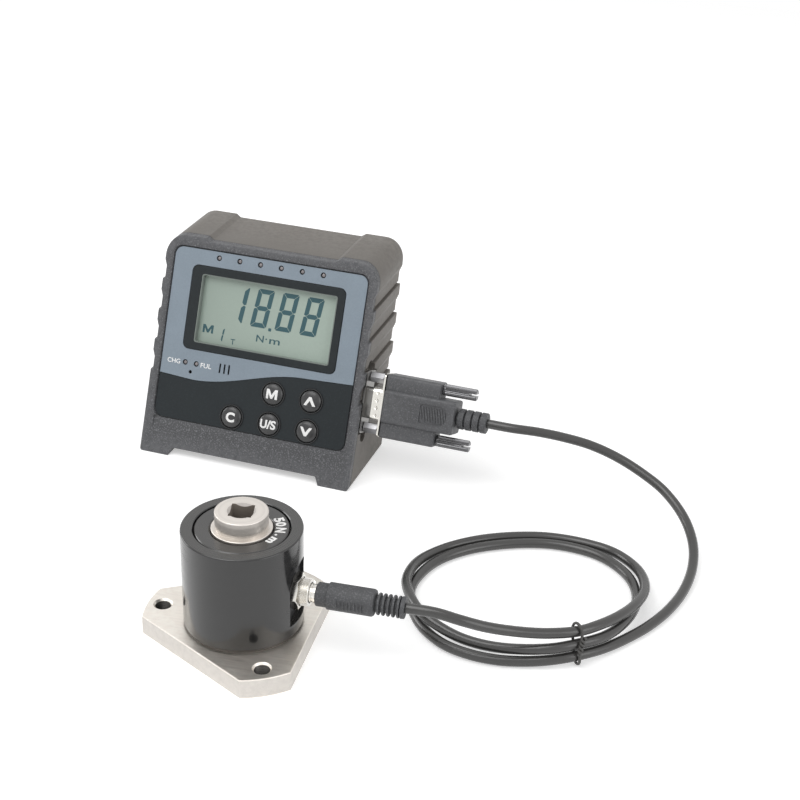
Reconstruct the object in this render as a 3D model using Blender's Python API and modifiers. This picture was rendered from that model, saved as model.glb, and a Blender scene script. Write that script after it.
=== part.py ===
"""Electronic torque tester: a leaning display unit, a reaction torque sensor on
its bolt-down plate, and the cable that joins them, tied in two loose turns.

Lengths are metres. +Z is up, the display faces -Y, and the origin is on the
floor under the middle of the display and the sensor together.
"""

import math

import bmesh
import bpy
from mathutils import Matrix, Vector

# Gap kept between pieces that touch on the real product
GAP = 0.0003

# Display housing, whose outline runs straight back from the leaning front
CASE_WIDTH = 0.1118
CASE_HEIGHT = 0.102
CASE_BASE_DEPTH = 0.0493
FACE_LEAN = math.radians(22.4)
BACK_LEAN = math.radians(16.0)
CASE_WALL = 0.0020
CORNER_RADIUS = 0.0100
TOP_END_WIDTH = 0.0206
TOP_SLOPE = 0.0024
TOP_RECESS = 0.0015
FOOT_WIDTH = 0.0156
FOOT_SLOPE = 0.0019
FOOT_HEIGHT = 0.0039
FOOT_EDGE = 0.0012
HALF_WIDTH = CASE_WIDTH / 2
FACE_LENGTH = CASE_HEIGHT / math.cos(FACE_LEAN)
FACE_MIDDLE = FACE_LENGTH / 2

# Stepped bands down each side of the housing, hung from its top
BAND_DROP = 0.0634
BAND_START = CASE_HEIGHT - BAND_DROP
BAND_PITCH = 0.0141
BAND_COUNT = 4
BAND_STEP = 0.0012
BAND_FLAT = 0.0050
BAND_SLOPE = 0.0030
GROOVE_DEPTH = 0.0020
GROOVE_HEIGHT = 0.0009

# Front bezel and the label plates in its pocket
BEZEL_DEPTH = 0.0034
CASE_EDGE = 0.0010
POCKET_SIDE = 0.0049
POCKET_END = 0.00542
POCKET_TOP = FACE_LENGTH - POCKET_END
POCKET_DEPTH = 0.0014
POCKET_RADIUS = 0.0045
LIP_SLOPE = 0.0068
PANEL_THICKNESS = 0.0006

# Wave between the two label plates: height at its ends, its dip and its crest
WAVE_BELOW_MIDDLE = 0.00466
WAVE_RISE = 0.0107
WAVE_LEFT_RISE = 0.0014
WAVE_RIGHT_RISE = 0.0012
WAVE_CREST = FACE_MIDDLE - WAVE_BELOW_MIDDLE
WAVE_RIGHT = WAVE_CREST + WAVE_RIGHT_RISE
WAVE_DIP = WAVE_CREST - WAVE_RISE
WAVE_LEFT = WAVE_DIP + WAVE_LEFT_RISE
WAVE_DIP_INSET = 0.0229
WAVE_CREST_INSET = 0.0289
WAVE_DIP_X = WAVE_DIP_INSET - HALF_WIDTH
WAVE_CREST_X = HALF_WIDTH - WAVE_CREST_INSET

# Row of indicator lamps under the pocket's upper edge
LAMP_RADIUS = 0.0011
LAMP_HOLE_RADIUS = 0.0014
LAMP_RECESS = 0.0002
LAMP_MIDDLE_X = 0.0002
LAMP_PITCH = 0.0110
LAMP_INSET = 0.0033
LAMP_ROW = POCKET_TOP - LAMP_INSET
LAMP_COUNT = 6

# Frame and display window, measured along the face from its bottom edge, with
# the frame's distance from the housing's sides and the lamps, and its bands
FRAME_INSET_LEFT = 0.0156
FRAME_INSET_RIGHT = 0.0154
FRAME_BELOW_LAMPS = 0.0049
FRAME_LEFT = FRAME_INSET_LEFT - HALF_WIDTH
FRAME_RIGHT = HALF_WIDTH - FRAME_INSET_RIGHT
FRAME_BOTTOM = FACE_MIDDLE
FRAME_TOP = LAMP_ROW - FRAME_BELOW_LAMPS
FRAME_BAND_LEFT = 0.0052
FRAME_BAND_RIGHT = 0.0037
FRAME_BAND_BOTTOM = 0.00344
FRAME_BAND_TOP = 0.0038
WINDOW_LEFT = FRAME_LEFT + FRAME_BAND_LEFT
WINDOW_RIGHT = FRAME_RIGHT - FRAME_BAND_RIGHT
WINDOW_BOTTOM = FRAME_BOTTOM + FRAME_BAND_BOTTOM
WINDOW_TOP = FRAME_TOP - FRAME_BAND_TOP
FRAME_RADIUS = 0.0030
FRAME_THICKNESS = 0.0008
MODULE_BORDER = 0.0020

# Buttons: name, place across the face and height along it. The right-hand
# column keeps its distance from the housing's side, and the upper row from the wave
BUTTON_PITCH_X = 0.0200
BUTTON_INSET = 0.0251
BUTTON_MIDDLE_X = HALF_WIDTH - BUTTON_INSET - BUTTON_PITCH_X
BUTTON_BELOW_WAVE = 0.0102
BUTTON_PITCH_Y = 0.0150
BUTTON_TO_POCKET = 0.0065
BUTTON_HIGH = WAVE_CREST - BUTTON_BELOW_WAVE
BUTTON_LOW = BUTTON_HIGH - BUTTON_PITCH_Y
POCKET_BOTTOM = BUTTON_LOW - BUTTON_TO_POCKET
BUTTON_RADIUS = 0.0053
BUTTON_PROUD = 0.0021
BUTTON_CLEARANCE = 0.0003
BUTTON_FLANGE = 0.0009
BUTTON_FLANGE_THICKNESS = 0.0008
BUTTON_STEM = 0.0012
BUTTON_TRAVEL = 0.0010
BUTTONS = {
    "button_mode": (BUTTON_MIDDLE_X, BUTTON_HIGH),
    "button_up": (BUTTON_MIDDLE_X + BUTTON_PITCH_X, BUTTON_HIGH),
    "button_clear": (BUTTON_MIDDLE_X - BUTTON_PITCH_X, BUTTON_LOW),
    "button_unit": (BUTTON_MIDDLE_X, BUTTON_LOW),
    "button_down": (BUTTON_MIDDLE_X + BUTTON_PITCH_X, BUTTON_LOW),
}

# Charge lamps, reset hole and sound slots of the upper plate
CHARGE_LAMP_INSET = 0.0180
CHARGE_LAMP_PITCH = 0.0060
CHARGE_LAMP_BELOW_MIDDLE = 0.00716
CHARGE_LAMP_ROW = FACE_MIDDLE - CHARGE_LAMP_BELOW_MIDDLE
CHARGE_LAMP_X = (CHARGE_LAMP_INSET - HALF_WIDTH, CHARGE_LAMP_INSET + CHARGE_LAMP_PITCH - HALF_WIDTH)
RESET_INSET = 0.0214
RESET_X = RESET_INSET - HALF_WIDTH
RESET_BELOW_LAMPS = 0.0044
RESET_ROW = CHARGE_LAMP_ROW - RESET_BELOW_LAMPS
RESET_RADIUS = 0.0009
SLOT_X = -0.0166
SLOT_ROW = CHARGE_LAMP_ROW
SLOT_PITCH = 0.0024
SLOT_WIDTH = 0.0009
SLOT_LENGTH = 0.0048
SLOT_COUNT = 3

# Screws that hold the back shell to the bezel
POST_INSET = 0.0091
POST_X = HALF_WIDTH - POST_INSET
POST_LOW = 0.0140
POST_DROP = 0.0140
POST_HIGH = CASE_HEIGHT - POST_DROP
POST_RADIUS = 0.0033
POST_LENGTH = 0.0100
PILLAR_RADIUS = 0.0040
PILLAR_WEB = 0.0030
SCREW_RADIUS = 0.0013
SCREW_REACH = 0.0080
SCREW_HEAD_RADIUS = 0.0024
SCREW_HEAD_HEIGHT = 0.0020
SCREW_CLEARANCE = 0.0004

# Boards and parts behind the bezel. The board fits between the case posts, and
# the battery fills the depth between the board and the rear wall
BOARD_SETBACK = 0.0095
BOARD_THICKNESS = 0.0016
BOARD_TO_POST = 0.0038
BOARD_HALF_WIDTH = POST_X - BOARD_TO_POST
BOARD_BOTTOM = 0.0120
BOARD_BELOW_POCKET = 0.0009
BOARD_TOP = POCKET_TOP - BOARD_BELOW_POCKET
BOARD_POST_RADIUS = 0.0016
BOARD_POST_INSET = 0.0020
BOARD_POST_X = BOARD_HALF_WIDTH - BOARD_POST_INSET
BOARD_POST_LOW = 0.0220
BOARD_POST_DROP = 0.0140
BOARD_POST_ROWS = (BOARD_POST_LOW, BOARD_TOP - BOARD_POST_DROP)
MAT_THICKNESS = 0.0010
MAT_DOME_RADIUS = 0.0042
MAT_MARGIN = 0.0012
BUZZER_RADIUS = 0.0045
BUZZER_THICKNESS = 0.0040
BATTERY_TO_POST = 0.0148
BATTERY_WIDTH = 2 * (POST_X - BATTERY_TO_POST)
BATTERY_CLEARANCE = 0.00395
BATTERY_HEIGHT = 0.0320

# Nine-way port in the right-hand side, on the line of the leaning front
PORT_SETBACK = 0.0112
PORT_ROW = 0.0440
PORT_SCREW_SPACING = 0.02499
PORT_FLANGE_LENGTH = 0.0308
PORT_FLANGE_WIDTH = 0.0125
PORT_FLANGE_THICKNESS = 0.0010
PORT_SHELL_LENGTH = 0.0163
PORT_SHELL_WIDTH = 0.0083
PORT_SHELL_WALL = 0.0005
PORT_SHELL_REACH = 0.0078
PORT_BODY_LENGTH = 0.0190
PORT_BODY_WIDTH = 0.0105
PORT_BODY_DEPTH = 0.0080
JACK_FLATS = 0.0048
JACK_LENGTH = 0.0070
JACK_BORE = 0.0016
JACK_BORE_DEPTH = 0.0044
JACK_STUD_RADIUS = 0.0013
JACK_STUD_LENGTH = 0.0060
SCALLOP_RADIUS = 0.0034
SCALLOP_PLACE = 0.0167
SCALLOP_DEPTH = 0.0032

# Plug on the display's end of the cable
PLUG_STANDOFF = 0.0086
PLUG_FLANGE_THICKNESS = 0.0009
PLUG_SHELL_REACH = 0.0050
HOOD_WING_LENGTH = 0.0274
HOOD_BODY_LENGTH = 0.0360
HOOD_HALF_SPAN = 0.0156
HOOD_BODY_HALF = 0.0081
HOOD_BODY_THICKNESS = 0.0150
HOOD_WING_THICKNESS = 0.0122
HOOD_EDGE = 0.0013
GRIP_START = 0.0190
GRIP_LENGTH = 0.0130
GRIP_HALF = 0.0042
GRIP_DEPTH = 0.0006
GRIP_RIBS = 7
THUMB_HEAD_RADIUS = 0.0027
THUMB_HEAD_LENGTH = 0.0165
THUMB_SHANK_RADIUS = 0.0012
THUMB_BORE = 0.0016
THUMB_TIP = 0.0044
THUMB_SLOT_WIDTH = 0.0010
THUMB_SLOT_DEPTH = 0.0035
RELIEF_LENGTH = 0.0148
RELIEF_RADIUS = 0.0050
RELIEF_RINGS = 4

# Torque sensor: bolt-down plate, sleeve, shaft with a square drive
SENSOR_TURN = math.radians(5.6)
PLATE_THICKNESS = 0.0090
PLATE_CHORD = 0.0296
PLATE_RADIUS = 0.0424
PLATE_EDGE = 0.0005
PLATE_HOLE_CIRCLE = 0.0357
PLATE_HOLE_RADIUS = 0.0033
PLATE_HOLE_EDGE = 0.0011
SEAT_HEIGHT = 0.0008
SEAT_RADIUS = 0.0243
SLEEVE_RADIUS = 0.0250
SLEEVE_BORE = 0.0200
SLEEVE_TOP = 0.0536
SLEEVE_EDGE = 0.0010
CAP_THICKNESS = 0.0060
CAP_BORE = 0.0129
COLLAR_RADIUS = 0.01255
COLLAR_PROUD = 0.0002
BOSS_RADIUS = 0.0110
BOSS_NECK = 0.0108
BOSS_TOP = 0.0612
BOSS_EDGE = 0.0009
DRIVE_SIZE = 0.00953
DRIVE_TURN = math.radians(7.0)
DRIVE_DEPTH = 0.0140
DRIVE_SINK_RADIUS = 0.0072
JOURNAL_RADIUS = 0.0100
TORSION_RADIUS = 0.0075
FLANGE_RADIUS = 0.0170
FLANGE_THICKNESS = 0.0070
BEARING_TOP_BELOW_CAP = 0.0005
BEARING_THICKNESS = 0.0080
GAUGE_BOARD_SIZE = 0.0140
GAUGE_BOARD_THICKNESS = 0.0012
FLANGE_SCREW_CIRCLE = 0.0130
FLANGE_SCREW_RADIUS = 0.0020
FLANGE_SCREW_HEAD = 0.0036
FLANGE_SCREW_HEAD_HEIGHT = 0.0040
FLANGE_SCREW_REACH = 0.0050
FLANGE_SCREW_COUNTERBORE = 0.0046

# Recess, socket and plug on the sensor's side
RECESS_FLAT = 0.0216
RECESS_HALF_WIDTH = 0.0096
RECESS_BOTTOM = 0.0150
SOCKET_HEIGHT = 0.0268
SOCKET_RADIUS = 0.0058
SOCKET_END = 0.0290
SOCKET_BORE = 0.0044
SOCKET_BORE_DEPTH = 0.0060
SOCKET_FLANGE_RADIUS = 0.0074
SOCKET_FLANGE_THICKNESS = 0.0012
SOCKET_TAIL = 0.0030
NUT_FLATS = 0.0136
NUT_THICKNESS = 0.0033
ROUND_PLUG_START = 0.0318
ROUND_SHELL_RADIUS = 0.0040
ROUND_COLLAR_RADIUS = 0.0050
ROUND_COLLAR_LENGTH = 0.0048
ROUND_BODY_RADIUS = 0.0057
ROUND_BODY_LENGTH = 0.0197
ROUND_RELIEF_RADIUS = 0.0045
ROUND_RELIEF_LENGTH = 0.0124
ROUND_RELIEF_RINGS = 6
ROUND_GRIP_LENGTH = 0.0110
ROUND_GRIP_HALF = 0.0026
ROUND_GRIP_DEPTH = 0.0005
ROUND_GRIP_RIBS = 5

# Distance from the display's front edge to the sensor's axis, and across
SENSOR_FORWARD = 0.1237
SENSOR_ACROSS = 0.0570

# Cable
CABLE_DIAMETER = 0.0045
CABLE_POINTS = 80
CABLE_EASE = 0.0120
TIE_RADIUS = 0.0006
TIE_KNOT = 0.0036
TIE_STEP = 0.0018

# Distance that a cutter runs past the face that it opens
OVER = 0.0010

# Sides of round pieces, by their size
FINE = 40
MEDIUM = 20
COARSE = 14
SMALL = 10


def case_front(height):
    """Return how far back the leaning front is at a height."""
    return height * math.tan(FACE_LEAN)


def case_back(height):
    """Return how far back the leaning rear wall is at a height."""
    return CASE_BASE_DEPTH + height * math.tan(BACK_LEAN)


def plate_corner(inset=0.0):
    """Return the angle from a flat side's middle to the end of its corner arc."""
    return math.acos((PLATE_CHORD - inset) / (PLATE_RADIUS - inset))


def plate_reach(direction):
    """Return the sensor plate's reach from its axis towards a direction."""
    arc_half = math.radians(60) - plate_corner()
    reaches = []
    for number in range(3):
        corner = SENSOR_TURN + math.radians(60 + 120 * number)
        offset = abs(math.remainder(corner - direction, 2 * math.pi))
        reaches.append(PLATE_RADIUS * math.cos(max(0.0, offset - arc_half)))
    return max(reaches)


# Place of the display and the sensor about the origin
LEFT_REACH = -SENSOR_ACROSS - HALF_WIDTH
RIGHT_REACH = plate_reach(0.0)
FRONT_REACH = -plate_reach(-math.pi / 2)
BACK_REACH = SENSOR_FORWARD + case_back(CASE_HEIGHT)
SENSOR_PLACE = Vector((-(LEFT_REACH + RIGHT_REACH) / 2, -(FRONT_REACH + BACK_REACH) / 2, 0))
DISPLAY_PLACE = SENSOR_PLACE + Vector((-SENSOR_ACROSS, SENSOR_FORWARD, 0))

# Depths behind the plane of the leaning front
PANEL_SETBACK = POCKET_DEPTH - GAP - PANEL_THICKNESS
FRAME_SETBACK = POCKET_DEPTH - GAP - FRAME_THICKNESS
BEHIND_BEZEL = BEZEL_DEPTH + GAP
BOARD_SEAT = BOARD_SETBACK - GAP
BUTTON_FOOT = BEHIND_BEZEL + BUTTON_FLANGE_THICKNESS + BUTTON_STEM
MAT_FRONT = BOARD_SEAT - MAT_THICKNESS
MAT_DOME_TOP = BUTTON_FOOT + BUTTON_TRAVEL + GAP

# Stations along the port's axis, outward from the housing's side
FLANGE_BACK = GAP - BAND_STEP
FLANGE_FRONT = FLANGE_BACK + PORT_FLANGE_THICKNESS
SHELL_END = FLANGE_FRONT + PORT_SHELL_REACH
JACK_START = FLANGE_FRONT + GAP
PLUG_FLANGE_END = PLUG_STANDOFF + PLUG_FLANGE_THICKNESS
HOOD_START = PLUG_FLANGE_END + GAP
THUMB_START = HOOD_START + HOOD_WING_LENGTH + GAP
RELIEF_START = HOOD_START + HOOD_BODY_LENGTH + GAP
CABLE_START = RELIEF_START + RELIEF_LENGTH + GAP

# Heights in the sensor, and stations along its socket's axis
SEAT_TOP = PLATE_THICKNESS + SEAT_HEIGHT
SLEEVE_BOTTOM = SEAT_TOP + GAP
CAP_TOP = SLEEVE_TOP - GAP
CAP_BOTTOM = CAP_TOP - CAP_THICKNESS
COLLAR_TOP = SLEEVE_TOP + COLLAR_PROUD
BEARING_TOP = CAP_BOTTOM - BEARING_TOP_BELOW_CAP
BEARING_BOTTOM = BEARING_TOP - BEARING_THICKNESS
FLANGE_TOP = SLEEVE_BOTTOM + FLANGE_THICKNESS
NUT_START = RECESS_FLAT + GAP
BORE_FLANGE_FRONT = math.sqrt(SLEEVE_BORE**2 - SOCKET_FLANGE_RADIUS**2) - GAP
SOCKET_BACK = BORE_FLANGE_FRONT - SOCKET_FLANGE_THICKNESS - SOCKET_TAIL
ROUND_BODY_END = ROUND_PLUG_START + ROUND_COLLAR_LENGTH + ROUND_BODY_LENGTH
ROUND_PLUG_END = ROUND_BODY_END + ROUND_RELIEF_LENGTH

# Cable's course on the bench, from the display's plug to the sensor's. The three
# strands in the tie stand over each other
TIE_LOW = (0.1755, -0.0500, 0.0041)
TIE_MIDDLE = (0.1748, -0.0491, 0.0090)
TIE_TOP = (0.1737, -0.0475, 0.0139)
CABLE_ROUTE = [
    (0.1244, 0.0727, 0.0352), (0.1365, 0.0757, 0.0332), (0.1489, 0.0781, 0.0304),
    (0.1620, 0.0781, 0.0266), (0.1753, 0.0752, 0.0222), (0.1874, 0.0705, 0.0174),
    (0.1986, 0.0604, 0.0120), (0.2057, 0.0471, 0.0074), (0.2085, 0.0323, 0.0040),
    (0.2079, 0.0155, 0.0025), (0.2046, -0.0009, 0.0024), (0.1990, -0.0158, 0.0024),
    (0.1921, -0.0281, 0.0024), (0.1844, -0.0397, 0.0030), TIE_LOW,
    (0.1659, -0.0560, 0.0034), (0.1556, -0.0599, 0.0026), (0.1445, -0.0628, 0.0024),
    (0.1321, -0.0631, 0.0024), (0.1198, -0.0598, 0.0024), (0.1078, -0.0508, 0.0024),
    (0.0990, -0.0374, 0.0024), (0.0951, -0.0227, 0.0024), (0.0986, -0.0042, 0.0024),
    (0.1090, 0.0109, 0.0024), (0.1242, 0.0223, 0.0024), (0.1412, 0.0295, 0.0024),
    (0.1574, 0.0307, 0.0024), (0.1708, 0.0268, 0.0024), (0.1829, 0.0167, 0.0024),
    (0.1895, 0.0021, 0.0028), (0.1902, -0.0171, 0.0054), (0.1848, -0.0367, 0.0078),
    TIE_MIDDLE, (0.1631, -0.0561, 0.0082), (0.1463, -0.0577, 0.0052),
    (0.1315, -0.0572, 0.0044), (0.1191, -0.0552, 0.0060), (0.1075, -0.0500, 0.0082),
    (0.0984, -0.0389, 0.0084), (0.0932, -0.0263, 0.0074), (0.0926, -0.0085, 0.0046),
    (0.0989, 0.0079, 0.0026), (0.1104, 0.0202, 0.0024), (0.1246, 0.0293, 0.0024),
    (0.1406, 0.0353, 0.0024), (0.1579, 0.0366, 0.0024), (0.1736, 0.0328, 0.0028),
    (0.1865, 0.0198, 0.0048), (0.1925, 0.0034, 0.0074), (0.1920, -0.0125, 0.0098),
    (0.1876, -0.0270, 0.0118), (0.1812, -0.0387, 0.0132), TIE_TOP,
    (0.1626, -0.0545, 0.0148), (0.1514, -0.0604, 0.0168), (0.1406, -0.0667, 0.0204),
    (0.1309, -0.0717, 0.0246),
]

# Turns that point a piece's own Z axis out of the face, to the back and along X
OUTWARD = (math.pi / 2, 0, 0)
BACKWARD = (-math.pi / 2, 0, 0)
ALONG_X = (0, math.pi / 2, 0)

# Finishes: colour, roughness and metallic value
FINISHES = {
    "shell": ((0.125, 0.112, 0.098), 0.55, 0.0),
    "bezel": ((0.070, 0.071, 0.074), 0.60, 0.0),
    "slate": ((0.245, 0.300, 0.345), 0.45, 0.0),
    "ink": ((0.026, 0.034, 0.038), 0.45, 0.0),
    "glass": ((0.400, 0.470, 0.395), 0.25, 0.0),
    "rubber": ((0.045, 0.044, 0.044), 0.45, 0.0),
    "board": ((0.020, 0.130, 0.055), 0.50, 0.0),
    "lamp": ((0.330, 0.240, 0.250), 0.30, 0.0),
    "battery": ((0.080, 0.160, 0.320), 0.50, 0.0),
    "steel": ((0.640, 0.610, 0.575), 0.30, 1.0),
    "tin": ((0.740, 0.720, 0.660), 0.25, 1.0),
    "zinc": ((0.330, 0.330, 0.330), 0.35, 1.0),
    "anodised": ((0.040, 0.038, 0.036), 0.25, 0.4),
    "moulded": ((0.060, 0.061, 0.065), 0.60, 0.0),
    "cable": ((0.048, 0.047, 0.045), 0.35, 0.0),
}


def new_collection(name):
    """Make a collection in the scene."""
    collection = bpy.data.collections.new(name)
    bpy.context.scene.collection.children.link(collection)
    return collection


def clear_scene():
    """Remove every object that is already in the scene."""
    for old in list(bpy.data.objects):
        bpy.data.objects.remove(old, do_unlink=True)


def finish(name, kind):
    """Make one piece's material from the table of finishes."""
    colour, roughness, metallic = FINISHES[kind]
    material = bpy.data.materials.new(f"{name}_{kind}")
    material.use_nodes = True
    material.diffuse_color = (*colour, 1)
    shader = material.node_tree.nodes["Principled BSDF"]
    shader.inputs["Base Color"].default_value = (*colour, 1)
    shader.inputs["Roughness"].default_value = roughness
    shader.inputs["Metallic"].default_value = metallic
    return material


def frame(name, parent=None, place=(0, 0, 0), turn=(0, 0, 0)):
    """Make an empty that carries pieces in their own coordinates."""
    empty = bpy.data.objects.new(name, None)
    empty.location = place
    empty.rotation_euler = turn
    empty.parent = parent
    PARTS.objects.link(empty)
    return empty


def part(name, mesh, kind, parent, place=(0, 0, 0), turn=(0, 0, 0)):
    """Place a mesh as a named piece with its own material."""
    piece = bpy.data.objects.new(name, mesh)
    piece.location = place
    piece.rotation_euler = turn
    piece.parent = parent
    mesh.materials.append(finish(name, kind))
    PARTS.objects.link(piece)
    return piece


def tool(name, mesh, parent, place=(0, 0, 0), turn=(0, 0, 0)):
    """Place a mesh as a guide that cuts or joins a piece."""
    guide = bpy.data.objects.new(name, mesh)
    guide.location = place
    guide.rotation_euler = turn
    guide.parent = parent
    guide.hide_render = True
    guide.display_type = "WIRE"
    CUTTERS.objects.link(guide)
    return guide


def combine(piece, operation, guides):
    """Give a piece one Boolean modifier for each guide."""
    for guide in guides:
        modifier = piece.modifiers.new(guide.name, "BOOLEAN")
        modifier.operation = operation
        modifier.object = guide
    return piece


def cut(piece, *guides):
    """Cut guides out of a piece."""
    return combine(piece, "DIFFERENCE", guides)


def join(piece, *guides):
    """Join guides to a piece."""
    return combine(piece, "UNION", guides)


def mesh_from(bm, name="piece"):
    """Turn a bmesh into a mesh whose faces point out, shaded by angle."""
    bmesh.ops.recalc_face_normals(bm, faces=bm.faces)
    mesh = bpy.data.meshes.new(name)
    bm.to_mesh(mesh)
    bm.free()
    mesh.shade_smooth()
    mesh.set_sharp_from_angle(angle=math.radians(35))
    return mesh


def boxes(size, centres):
    """Make one mesh of equal boxes that stand clear of each other."""
    bm = bmesh.new()
    for centre in centres:
        matrix = Matrix.Translation(centre) @ Matrix.Diagonal((*size, 1))
        bmesh.ops.create_cube(bm, size=1, matrix=matrix)
    return mesh_from(bm)


def level(places, low, high):
    """Return the spans of rods that all run from low to high."""
    return [(x, y, low, high) for x, y in places]


def rods(radius, spans, sides=COARSE, top_radius=None):
    """Make one mesh of rods along Z from their (x, y, low, high) spans."""
    bm = bmesh.new()
    for x, y, low, high in spans:
        bmesh.ops.create_cone(
            bm, cap_ends=True, segments=sides, radius1=radius,
            radius2=radius if top_radius is None else top_radius, depth=high - low,
            matrix=Matrix.Translation((x, y, (low + high) / 2)))
    return mesh_from(bm)


def stepped_rods(levels, places, sides):
    """Make one mesh of equal rods whose (height, radius) changes at levels."""
    bm = bmesh.new()
    for x, y in places:
        rings = []
        for height, radius in levels:
            outline = circle(x, y, radius, sides)
            rings.append([bm.verts.new((*point, height)) for point in outline])
        skin(bm, rings)
    return mesh_from(bm)


def skin(bm, rings):
    """Join loops of vertices in order, and cap the first and the last."""
    for first, second in zip(rings, rings[1:]):
        for number in range(len(first)):
            after = (number + 1) % len(first)
            bm.faces.new((first[number], first[after], second[after], second[number]))
    bm.faces.new(rings[0])
    bm.faces.new(rings[-1])


def arc(centre, radius, start, end, steps):
    """Return points along an arc between two angles, both ends included."""
    points = []
    for step in range(steps + 1):
        angle = start + (end - start) * step / steps
        points.append((centre[0] + radius * math.cos(angle), centre[1] + radius * math.sin(angle)))
    return points


def rounded(corners, radius, steps=3):
    """Return an anticlockwise outline with its corners rounded."""
    points = []
    for number, corner in enumerate(corners):
        here = Vector(corner)
        before = (Vector(corners[number - 1]) - here).normalized()
        after = (Vector(corners[(number + 1) % len(corners)]) - here).normalized()
        half = before.angle(after) / 2
        centre = here + (before + after).normalized() * radius / math.sin(half)
        first = here + before * radius / math.tan(half) - centre
        start = math.atan2(first.y, first.x)
        points += arc(centre, radius, start, start + math.pi - 2 * half, steps)
    return points


def rectangle(left, right, bottom, top, radius, steps=3):
    """Return the outline of a rectangle with rounded corners."""
    corners = [(left, bottom), (right, bottom), (right, top), (left, top)]
    return rounded(corners, radius, steps)


def circle(x, y, radius, sides=SMALL):
    """Return the outline of a circle."""
    return arc((x, y), radius, 0, 2 * math.pi * (1 - 1 / sides), sides - 1)


def sheet(loops, thickness):
    """Fill an outline and its holes, and give it thickness, centred on XY."""
    curve = bpy.data.curves.new("outline", "CURVE")
    curve.dimensions = "2D"
    curve.fill_mode = "BOTH"
    curve.extrude = thickness / 2
    for loop in loops:
        spline = curve.splines.new("POLY")
        spline.points.add(len(loop) - 1)
        spline.use_cyclic_u = True
        for point, (x, y) in zip(spline.points, loop):
            point.co = (x, y, 0, 1)
    return curve_mesh(curve)


def curve_mesh(curve):
    """Turn a curve into a welded mesh and remove the curve."""
    holder = bpy.data.objects.new("outline", curve)
    CUTTERS.objects.link(holder)
    depsgraph = bpy.context.evaluated_depsgraph_get()
    mesh = bpy.data.meshes.new_from_object(holder.evaluated_get(depsgraph))
    bpy.data.objects.remove(holder, do_unlink=True)
    bpy.data.curves.remove(curve)
    bm = bmesh.new()
    bm.from_mesh(mesh)
    bpy.data.meshes.remove(mesh)
    bmesh.ops.remove_doubles(bm, verts=bm.verts, dist=0.000001)
    return mesh_from(bm)


def loft(sections):
    """Join closed loops of points, in order, into one capped solid."""
    bm = bmesh.new()
    skin(bm, [[bm.verts.new(point) for point in section] for section in sections])
    return mesh_from(bm)


def turned(piece, sides):
    """Spin a piece's profile about its own Z axis."""
    modifier = piece.modifiers.new("turn", "SCREW")
    modifier.steps = sides
    modifier.render_steps = sides
    modifier.use_merge_vertices = True
    modifier.merge_threshold = 0.00001
    return piece


def profile(points):
    """Make a profile of (radius, height) points down the outer side.

    A profile that doesn't start on the axis is closed into a ring.
    """
    bm = bmesh.new()
    corners = [bm.verts.new((radius, 0, height)) for radius, height in points]
    for first, second in zip(corners, corners[1:]):
        bm.edges.new((first, second))
    if points[0][0] > 0:
        bm.edges.new((corners[-1], corners[0]))
    mesh = bpy.data.meshes.new("profile")
    bm.to_mesh(mesh)
    bm.free()
    return mesh


def mirrored(half):
    """Return an outline from its right half, bottom to top."""
    return half + [(-x, y) for x, y in reversed(half)]


def case_outline(inset=0.0, grooved=False):
    """Return the housing's outline as seen from the front.

    An inset draws it smaller all round. A grooved outline has a notch under
    each of the inner bands.
    """
    half = HALF_WIDTH - inset
    foot = HALF_WIDTH - FOOT_WIDTH + inset
    points = [
        (foot - FOOT_SLOPE, FOOT_HEIGHT + inset),
        (foot, inset),
        (half - FOOT_EDGE, inset),
        (half, inset + FOOT_EDGE),
    ]
    for number in range(BAND_COUNT):
        step = BAND_START + BAND_PITCH * number
        flat = step + GROOVE_HEIGHT
        points.append((half, step))
        if grooved:
            points += [(half - GROOVE_DEPTH, step), (half - GROOVE_DEPTH, flat)]
        points += [
            (half - BAND_STEP, flat if grooved else step),
            (half - BAND_STEP, flat + BAND_FLAT),
            (half, flat + BAND_FLAT + BAND_SLOPE),
        ]
    radius = CORNER_RADIUS - inset
    top = CASE_HEIGHT - inset
    points += arc((half - radius, top - radius), radius, 0, math.pi / 2, 5)
    ridge = HALF_WIDTH - TOP_END_WIDTH + inset
    points += [(ridge, top), (ridge - TOP_SLOPE, top - TOP_RECESS)]
    return mirrored(points)


def behind_front(outline, setback):
    """Stand an outline in the plane of the front, moved back square to it."""
    lean = setback / math.cos(FACE_LEAN)
    return [(x, case_front(z) + lean, z) for x, z in outline]


def before_back(outline, distance):
    """Stand an outline in the plane of the back, moved forward square to it."""
    lean = distance / math.cos(BACK_LEAN)
    return [(x, case_back(z) - lean, z) for x, z in outline]


def post_end(height):
    """Return how far back a bezel post at a height ends."""
    return case_front(height) + BEZEL_DEPTH / math.cos(FACE_LEAN) + POST_LENGTH


def post_spans(start, end):
    """Return spans of the four case screws, between two places for a height."""
    return [
        (x, -height, start(height), end(height))
        for x in (-POST_X, POST_X) for height in (POST_LOW, POST_HIGH)]


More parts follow.
